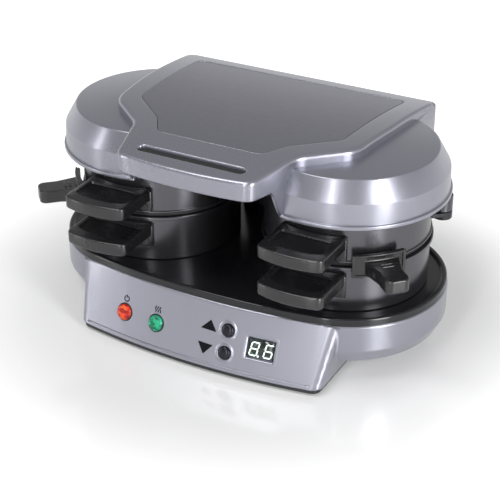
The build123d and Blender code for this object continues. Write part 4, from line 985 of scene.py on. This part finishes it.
# ---- Sliding cooking plates and their paddles -----------------------------------------
# A flat coated plate swings out sideways on a pin; its black paddle has a curved
# shield that covers the slot between the rings.
for side in ("right", "left"):
    softened("cooking_plate_" + side, "slide_plate_" + side, "plate_" + side, PLATE, 0.4)
    softened("plate_handle_" + side, "paddle_" + side, "plate_" + side, GRIP, 1.3)

SHIELD_IN = 69.6
SHIELD_OUT = 72.8
SHIELD_FOOT = 94.0
SHIELD_HEAD = 113.0
SHIELD_FROM = 27.4          # degrees from the front, outwards
SHIELD_TO = 61.4
PADDLE_WAY = math.radians(46)
PADDLE_TOP = 107.4
RIM_W = 2.2
RIM_RISE = 0.9


def along_paddle(hand, out, aside, z):
    x = out * math.sin(PADDLE_WAY) + aside * math.cos(PADDLE_WAY)
    y = -out * math.cos(PADDLE_WAY) + aside * math.sin(PADDLE_WAY)
    return hand * (STATION_X + x), y, z


for side, hand in (("right", 1), ("left", -1)):
    trim = bmesh.new()
    width = math.degrees(RIM_W / SHIELD_OUT)
    proud = (SHIELD_OUT - 0.6, SHIELD_OUT + RIM_RISE)
    bent_plate(trim, hand, proud, (SHIELD_HEAD - RIM_W, SHIELD_HEAD), SHIELD_FROM, SHIELD_TO, 0.5)
    bent_plate(trim, hand, proud, (SHIELD_FOOT, SHIELD_FOOT + RIM_W), SHIELD_FROM, SHIELD_FROM + 8, 0.5)
    bent_plate(trim, hand, proud, (SHIELD_FOOT, SHIELD_HEAD), SHIELD_FROM, SHIELD_FROM + width, 0.5, 3)
    bent_plate(trim, hand, proud, (SHIELD_FOOT, SHIELD_HEAD), SHIELD_TO - width, SHIELD_TO, 0.5, 3)
    for out in (79.6, 83.4):
        outline = spread(rounded([(-0.75, -5.2, 0.7), (0.75, -5.2, 0.7), (0.75, 5.2, 0.7),
                                  (-0.75, 5.2, 0.7)], pitch=30), 1.0)
        bar = [[along_paddle(hand, out + u, v, PADDLE_TOP + rise) for u, v in drawn_in(outline, thin)]
               for rise, thin in ((-0.6, 0), (0.45, 0), (0.75, 0.2), (0.85, 0.45))]
        joined(trim, lofted(bar))
    finished("paddle_trim_" + side, trim, "plate_" + side, GRIP)

# ---- Lid: round ends ---------------------------------------------------------------------
# Silver-painted moulding. Over each station it ends in a stepped round dome with a
# rolled bottom edge, cut off beside the handle where it meets the handle's side wall.
LID_FOOT = 138.0
CREASE_X = 64.2
WALL = 2.6


def turned(profile, centre_x, steps=180):
    """A closed profile (radius, height) turned about an upright axis."""
    shape = bmesh.new()
    rows = []
    for radius, height in profile:
        if radius < 0.001:
            rows.append([shape.verts.new((centre_x, 0, height))])
            continue
        rows.append([
            shape.verts.new((
                centre_x + radius * math.cos(math.tau * step / steps),
                radius * math.sin(math.tau * step / steps),
                height,
            ))
            for step in range(steps)
        ])
    for lower, upper in zip(rows, rows[1:] + rows[:1]):
        if len(lower) == 1 and len(upper) == 1:
            continue
        for step in range(steps):
            after = (step + 1) % steps
            if len(lower) == 1:
                shape.faces.new((lower[0], upper[after], upper[step]))
            elif len(upper) == 1:
                shape.faces.new((lower[step], lower[after], upper[0]))
            else:
                shape.faces.new((lower[step], lower[after], upper[after], upper[step]))
    return shape


def cut_off(shape, point, outwards):
    """Everything beyond a plane taken away, and the cut closed."""
    everything = shape.verts[:] + shape.edges[:] + shape.faces[:]
    bmesh.ops.bisect_plane(
        shape, geom=everything, dist=0.0001, plane_co=point, plane_no=outwards,
        clear_outer=True,
    )
    rim = [edge for edge in shape.edges if edge.is_boundary]
    bmesh.ops.triangle_fill(shape, edges=rim, use_beauty=True)


round_end = rounded([
    (0, 177.2, 0), (26, 177.1, 60), (69.2, 174.6, 1.6), (78.4, 158.5, 1.2),
    (79.1, 142.6, 0.5), (78.9, 141.5, 0.4), (80.7, 141.2, 0.9), (80.7, 138.0, 0.8),
    (76.4, 138.0, 0.5), (76.4, 157.4, 3), (67.6, 172.0, 3), (0, 174.6, 0),
], closed=False)
for side, hand in (("right", 1), ("left", -1)):
    dome = turned(round_end, hand * STATION_X)
    cut_off(dome, (hand * CREASE_X, 0, 0), (-hand, 0, 0))
    finished("lid_round_end_" + side, dome, "lid", SILVER, "lid_shell")

# ---- Lid: back -----------------------------------------------------------------------------
# The same moulding between and behind the round ends, flat on top under the bridge,
# with an upright back wall.
LID_BACK = 104.0
LID_BACK_HALF = 117.0
LID_TOP = 174.5


back_plan = spread(rounded([
    (-80, -40, 0), (80, -40, 0), (117, 30, 0), (117, 104, 6), (-117, 104, 6), (-117, 30, 0),
]), 3.0)
ROOF = LID_TOP - WALL


def back_foot(y):
    """Only the wall behind the round ends reaches down to the foot of the lid."""
    return LID_FOOT if y > 62 else ROOF - 0.6


back_loops = [
    [(x * 0.5, y * 0.5, ROOF) for x, y in back_plan],
    [(x, y, ROOF) for x, y in drawn_in(back_plan, WALL)],
    [(x, y, back_foot(y) + 0.3) for x, y in drawn_in(back_plan, WALL)],
    [(x, y, back_foot(y)) for x, y in drawn_in(back_plan, WALL - 0.4)],
    [(x, y, back_foot(y)) for x, y in drawn_in(back_plan, 0.5)],
    [(x, y, back_foot(y) + 0.5) for x, y in back_plan],
]
for step in range(6):
    tilt = math.radians(18 * step)
    back_loops.append([
        (x, y, LID_TOP - 2.4 + 2.4 * math.sin(tilt))
        for x, y in drawn_in(back_plan, 2.4 - 2.4 * math.cos(tilt))
    ])
back_loops.append([(x * 0.5, y * 0.5, LID_TOP) for x, y in back_plan])
finished("lid_back_wall", lofted(back_loops), "lid", SILVER, "lid_shell")

# ---- Lid: bridge and handle ------------------------------------------------------------------
# The raised bridge, in one moulding with the round ends. It runs forward as the
# handle, whose side walls sweep down to the round ends, and has a grip groove.
ARCH_TOP = 185.0
ARCH_Y = -12.0
ARCH_R = 700.0
EDGE_R = 3.4
HANDLE_FOOT = 162.0
BRIDGE_MIDDLE = (0.0, -8.0)


def arch(y):
    """Height of the arched top."""
    return ARCH_TOP - ARCH_R + math.sqrt(ARCH_R**2 - (y - ARCH_Y) ** 2)


def mirrored(corners):
    """A half outline, front to back on the right, closed by its mirror image."""
    return corners + [(-x, y, radius) for x, y, radius in reversed(corners)]


def falling(value, start, end):
    """Smooth step from 0 at start to 1 at end."""
    t = min(1, max(0, (value - start) / (end - start)))
    return t * t * (3 - 2 * t)


def bridge_foot(x, y):
    """The handle's underside; its side wall sweeps down to meet the round end."""
    if y > -73.0:
        return 166.5
    return HANDLE_FOOT - (HANDLE_FOOT - 139.2) * falling(y, -90.0, -77.0)


front_bow = [(x, -110.6 - 4.4 * (1 - (x / 60) ** 2), 0) for x in (0, 12, 24, 36, 46)]
bridge_corners = mirrored(front_bow[1:] + [
    (58.0, -110.2, 10), (64.2, -88, 40), (71.0, -63.5, 24), (107.5, -33.5, 26),
    (113.5, 20, 200), (117.4, 101, 9),
])
bridge_plan = by_angle(rounded(bridge_corners, pitch=5), 480, BRIDGE_MIDDLE)
inset_plan = by_angle(rounded(mirrored([
    (45.0, -70.5, 9), (57.0, -51.0, 12), (90.0, -23.0, 10), (97.0, 84.0, 6),
]), pitch=8), 480, BRIDGE_MIDDLE)


def between(near, far, amount):
    return [
        (a[0] + (b[0] - a[0]) * amount, a[1] + (b[1] - a[1]) * amount)
        for a, b in zip(near, far)
    ]


def over_arch(points, sink):
    """Points laid on the arched top, sunk by an amount."""
    return [(x, y, arch(y) - sink) for x, y in points]


under = drawn_in(bridge_plan, WALL)
bridge_loops = [
    [(x * 0.6, y * 0.6, HANDLE_FOOT + 1.2) for x, y in bridge_plan],
    [(x, y, HANDLE_FOOT + 1.2) for x, y in drawn_in(bridge_plan, WALL + 0.6)],
    [(x, y, min(HANDLE_FOOT + 0.6, bridge_foot(x, y) + 1.2)) for x, y in under],
    [(x, y, bridge_foot(x, y) + 0.4) for x, y in under],
    [(x, y, bridge_foot(x, y)) for x, y in drawn_in(bridge_plan, WALL - 0.5)],
    [(x, y, bridge_foot(x, y)) for x, y in drawn_in(bridge_plan, 1.6)],
    [(x, y, bridge_foot(x, y) + 0.45) for x, y in drawn_in(bridge_plan, 0.5)],
    [(x, y, bridge_foot(x, y) + 1.6) for x, y in bridge_plan],
]
for step in range(8):
    tilt = math.radians(90 * step / 7)
    rim = drawn_in(bridge_plan, EDGE_R - EDGE_R * math.cos(tilt))
    bridge_loops.append(over_arch(rim, EDGE_R - EDGE_R * math.sin(tilt)))
crown = drawn_in(bridge_plan, EDGE_R)
bridge_loops.append(over_arch(between(crown, inset_plan, 0.2), 0))
bridge_loops.append(over_arch(between(crown, inset_plan, 0.6), 0))
for inset, sink in ((-1.3, 0), (-0.6, 0.08), (-0.25, 0.35), (-0.2, 1.4), (2.0, 1.5)):
    bridge_loops.append(over_arch(drawn_in(inset_plan, inset), sink))
for share in (0.6, 0.3, 0.05):
    bridge_loops.append(over_arch(
        [(x * share, BRIDGE_MIDDLE[1] + (y - BRIDGE_MIDDLE[1]) * share)
         for x, y in inset_plan], 1.5))
bridge = finished("lid_bridge", lofted(bridge_loops), "lid", SILVER, "lid_shell")

GROOVE_HALF = 46.0
GROOVE_Y = -97.0
GROOVE_HALF_W = 3.9


def groove_plan(half_width):
    reach = GROOVE_HALF - GROOVE_HALF_W
    turn = [math.radians(-90 + 15 * step) for step in range(13)]
    right = [(reach + half_width * math.cos(a), GROOVE_Y + half_width * math.sin(a)) for a in turn]
    left = [(-x, 2 * GROOVE_Y - y) for x, y in right]
    return spread(right + left, 4.0)


groove_cut = lofted([
    over_arch(groove_plan(GROOVE_HALF_W - 1.0), 4.2),
    over_arch(groove_plan(GROOVE_HALF_W - 0.4), 3.9),
    over_arch(groove_plan(GROOVE_HALF_W), 3.3),
    over_arch(groove_plan(GROOVE_HALF_W), 1.3),
    over_arch(groove_plan(GROOVE_HALF_W + 0.3), 0.6),
    over_arch(groove_plan(GROOVE_HALF_W + 0.9), 0.15),
    over_arch(groove_plan(GROOVE_HALF_W + 1.5), 0.0),
    over_arch(groove_plan(GROOVE_HALF_W + 1.6), -1.0),
])
cutter = finished("groove_cutter", groove_cut, "lid", SILVER)
carve = bridge.modifiers.new("groove", "BOOLEAN")
carve.operation = "DIFFERENCE"
carve.solver = "EXACT"
carve.object = cutter
settle(bridge)
bpy.data.objects.remove(cutter)
# A black sheet lines the groove's floor and the foot of its rear wall: painted shade in the groove.
finished("groove_painted_shade", lofted([
    over_arch(groove_plan(GROOVE_HALF_W - inset), sink)
    for inset, sink in ((1.3, 4.3), (0.1, 3.7), (0.1, 2.5), (0.4, 2.3), (1.2, 2.4), (3.0, 2.5))
]), "lid", GRIP)

# ---- Lid: throat, panel, liner ------------------------------------------------------------------
# Black wall behind the handle and round the upper plates; satin panel clipped into its
# shallow recess; black pan screwed up into the lid.
throat_path = []
NECK_R = 69.5
for step in range(13):
    angle = math.radians(251.6 - (251.6 - 228.4) * step / 12)
    throat_path.append((STATION_X + NECK_R * math.cos(angle), NECK_R * math.sin(angle)))
throat_path += [(-x, y) for x, y in reversed(throat_path)]
inner = [(x, y + WALL) for x, y in throat_path]
throat_plan = inner[::-1] + throat_path
throat_plan = throat_plan[::-1]
finished("lid_throat", lofted([
    [(x, y, z) for x, y in throat_plan] for z in (138.4, 163.4)
]), "lid", BLACK, "lid_shell")

satin = Finish("satin_panel", Metallic=0.75, IOR=1.5)
satin_grain = satin.cloud(1200.0, 2.0, (0.15, 1, 1))
satin.set("Base Color", satin.tint(satin_grain, (0.205, 0.205, 0.238), (0.275, 0.275, 0.318)))
satin.set("Roughness", 0.3 + 0.06 * satin.cloud(8.0))
satin.relief(satin_grain, 0.05, 0.00004)
panel_loops = [
    over_arch([(x * 0.6, BRIDGE_MIDDLE[1] + (y - BRIDGE_MIDDLE[1]) * 0.6) for x, y in inset_plan], 1.4),
    over_arch(drawn_in(inset_plan, 0.4), 1.4),
    over_arch(drawn_in(inset_plan, 0.2), 1.2),
    over_arch(drawn_in(inset_plan, 0.2), 0.8),
    over_arch(drawn_in(inset_plan, 0.35), 0.5),
    over_arch(drawn_in(inset_plan, 0.9), 0.35),
    over_arch(drawn_in(inset_plan, 2.0), 0.35),
]
for share in (0.8, 0.6, 0.4, 0.2, 0.04):
    panel_loops.append(over_arch(
        [(x * share, BRIDGE_MIDDLE[1] + (y - BRIDGE_MIDDLE[1]) * share)
         for x, y in inset_plan], 0.35))
finished("inset_panel", lofted(panel_loops), "lid", ("satin_inset", satin), "lid_inset_panel")
softened("lid_liner", "liner_pan", "lid", BLACK, 0.6)
studs("lid_screw_set", "lid", STEEL, "lid_screws",
      [((x, y, 138.6), DOWN) for x in (-14, 14) for y in (-40, 0, 40)],
      (3.2, 1.1, 0.4, 1.2, 0.6, 1.7, 14.6))
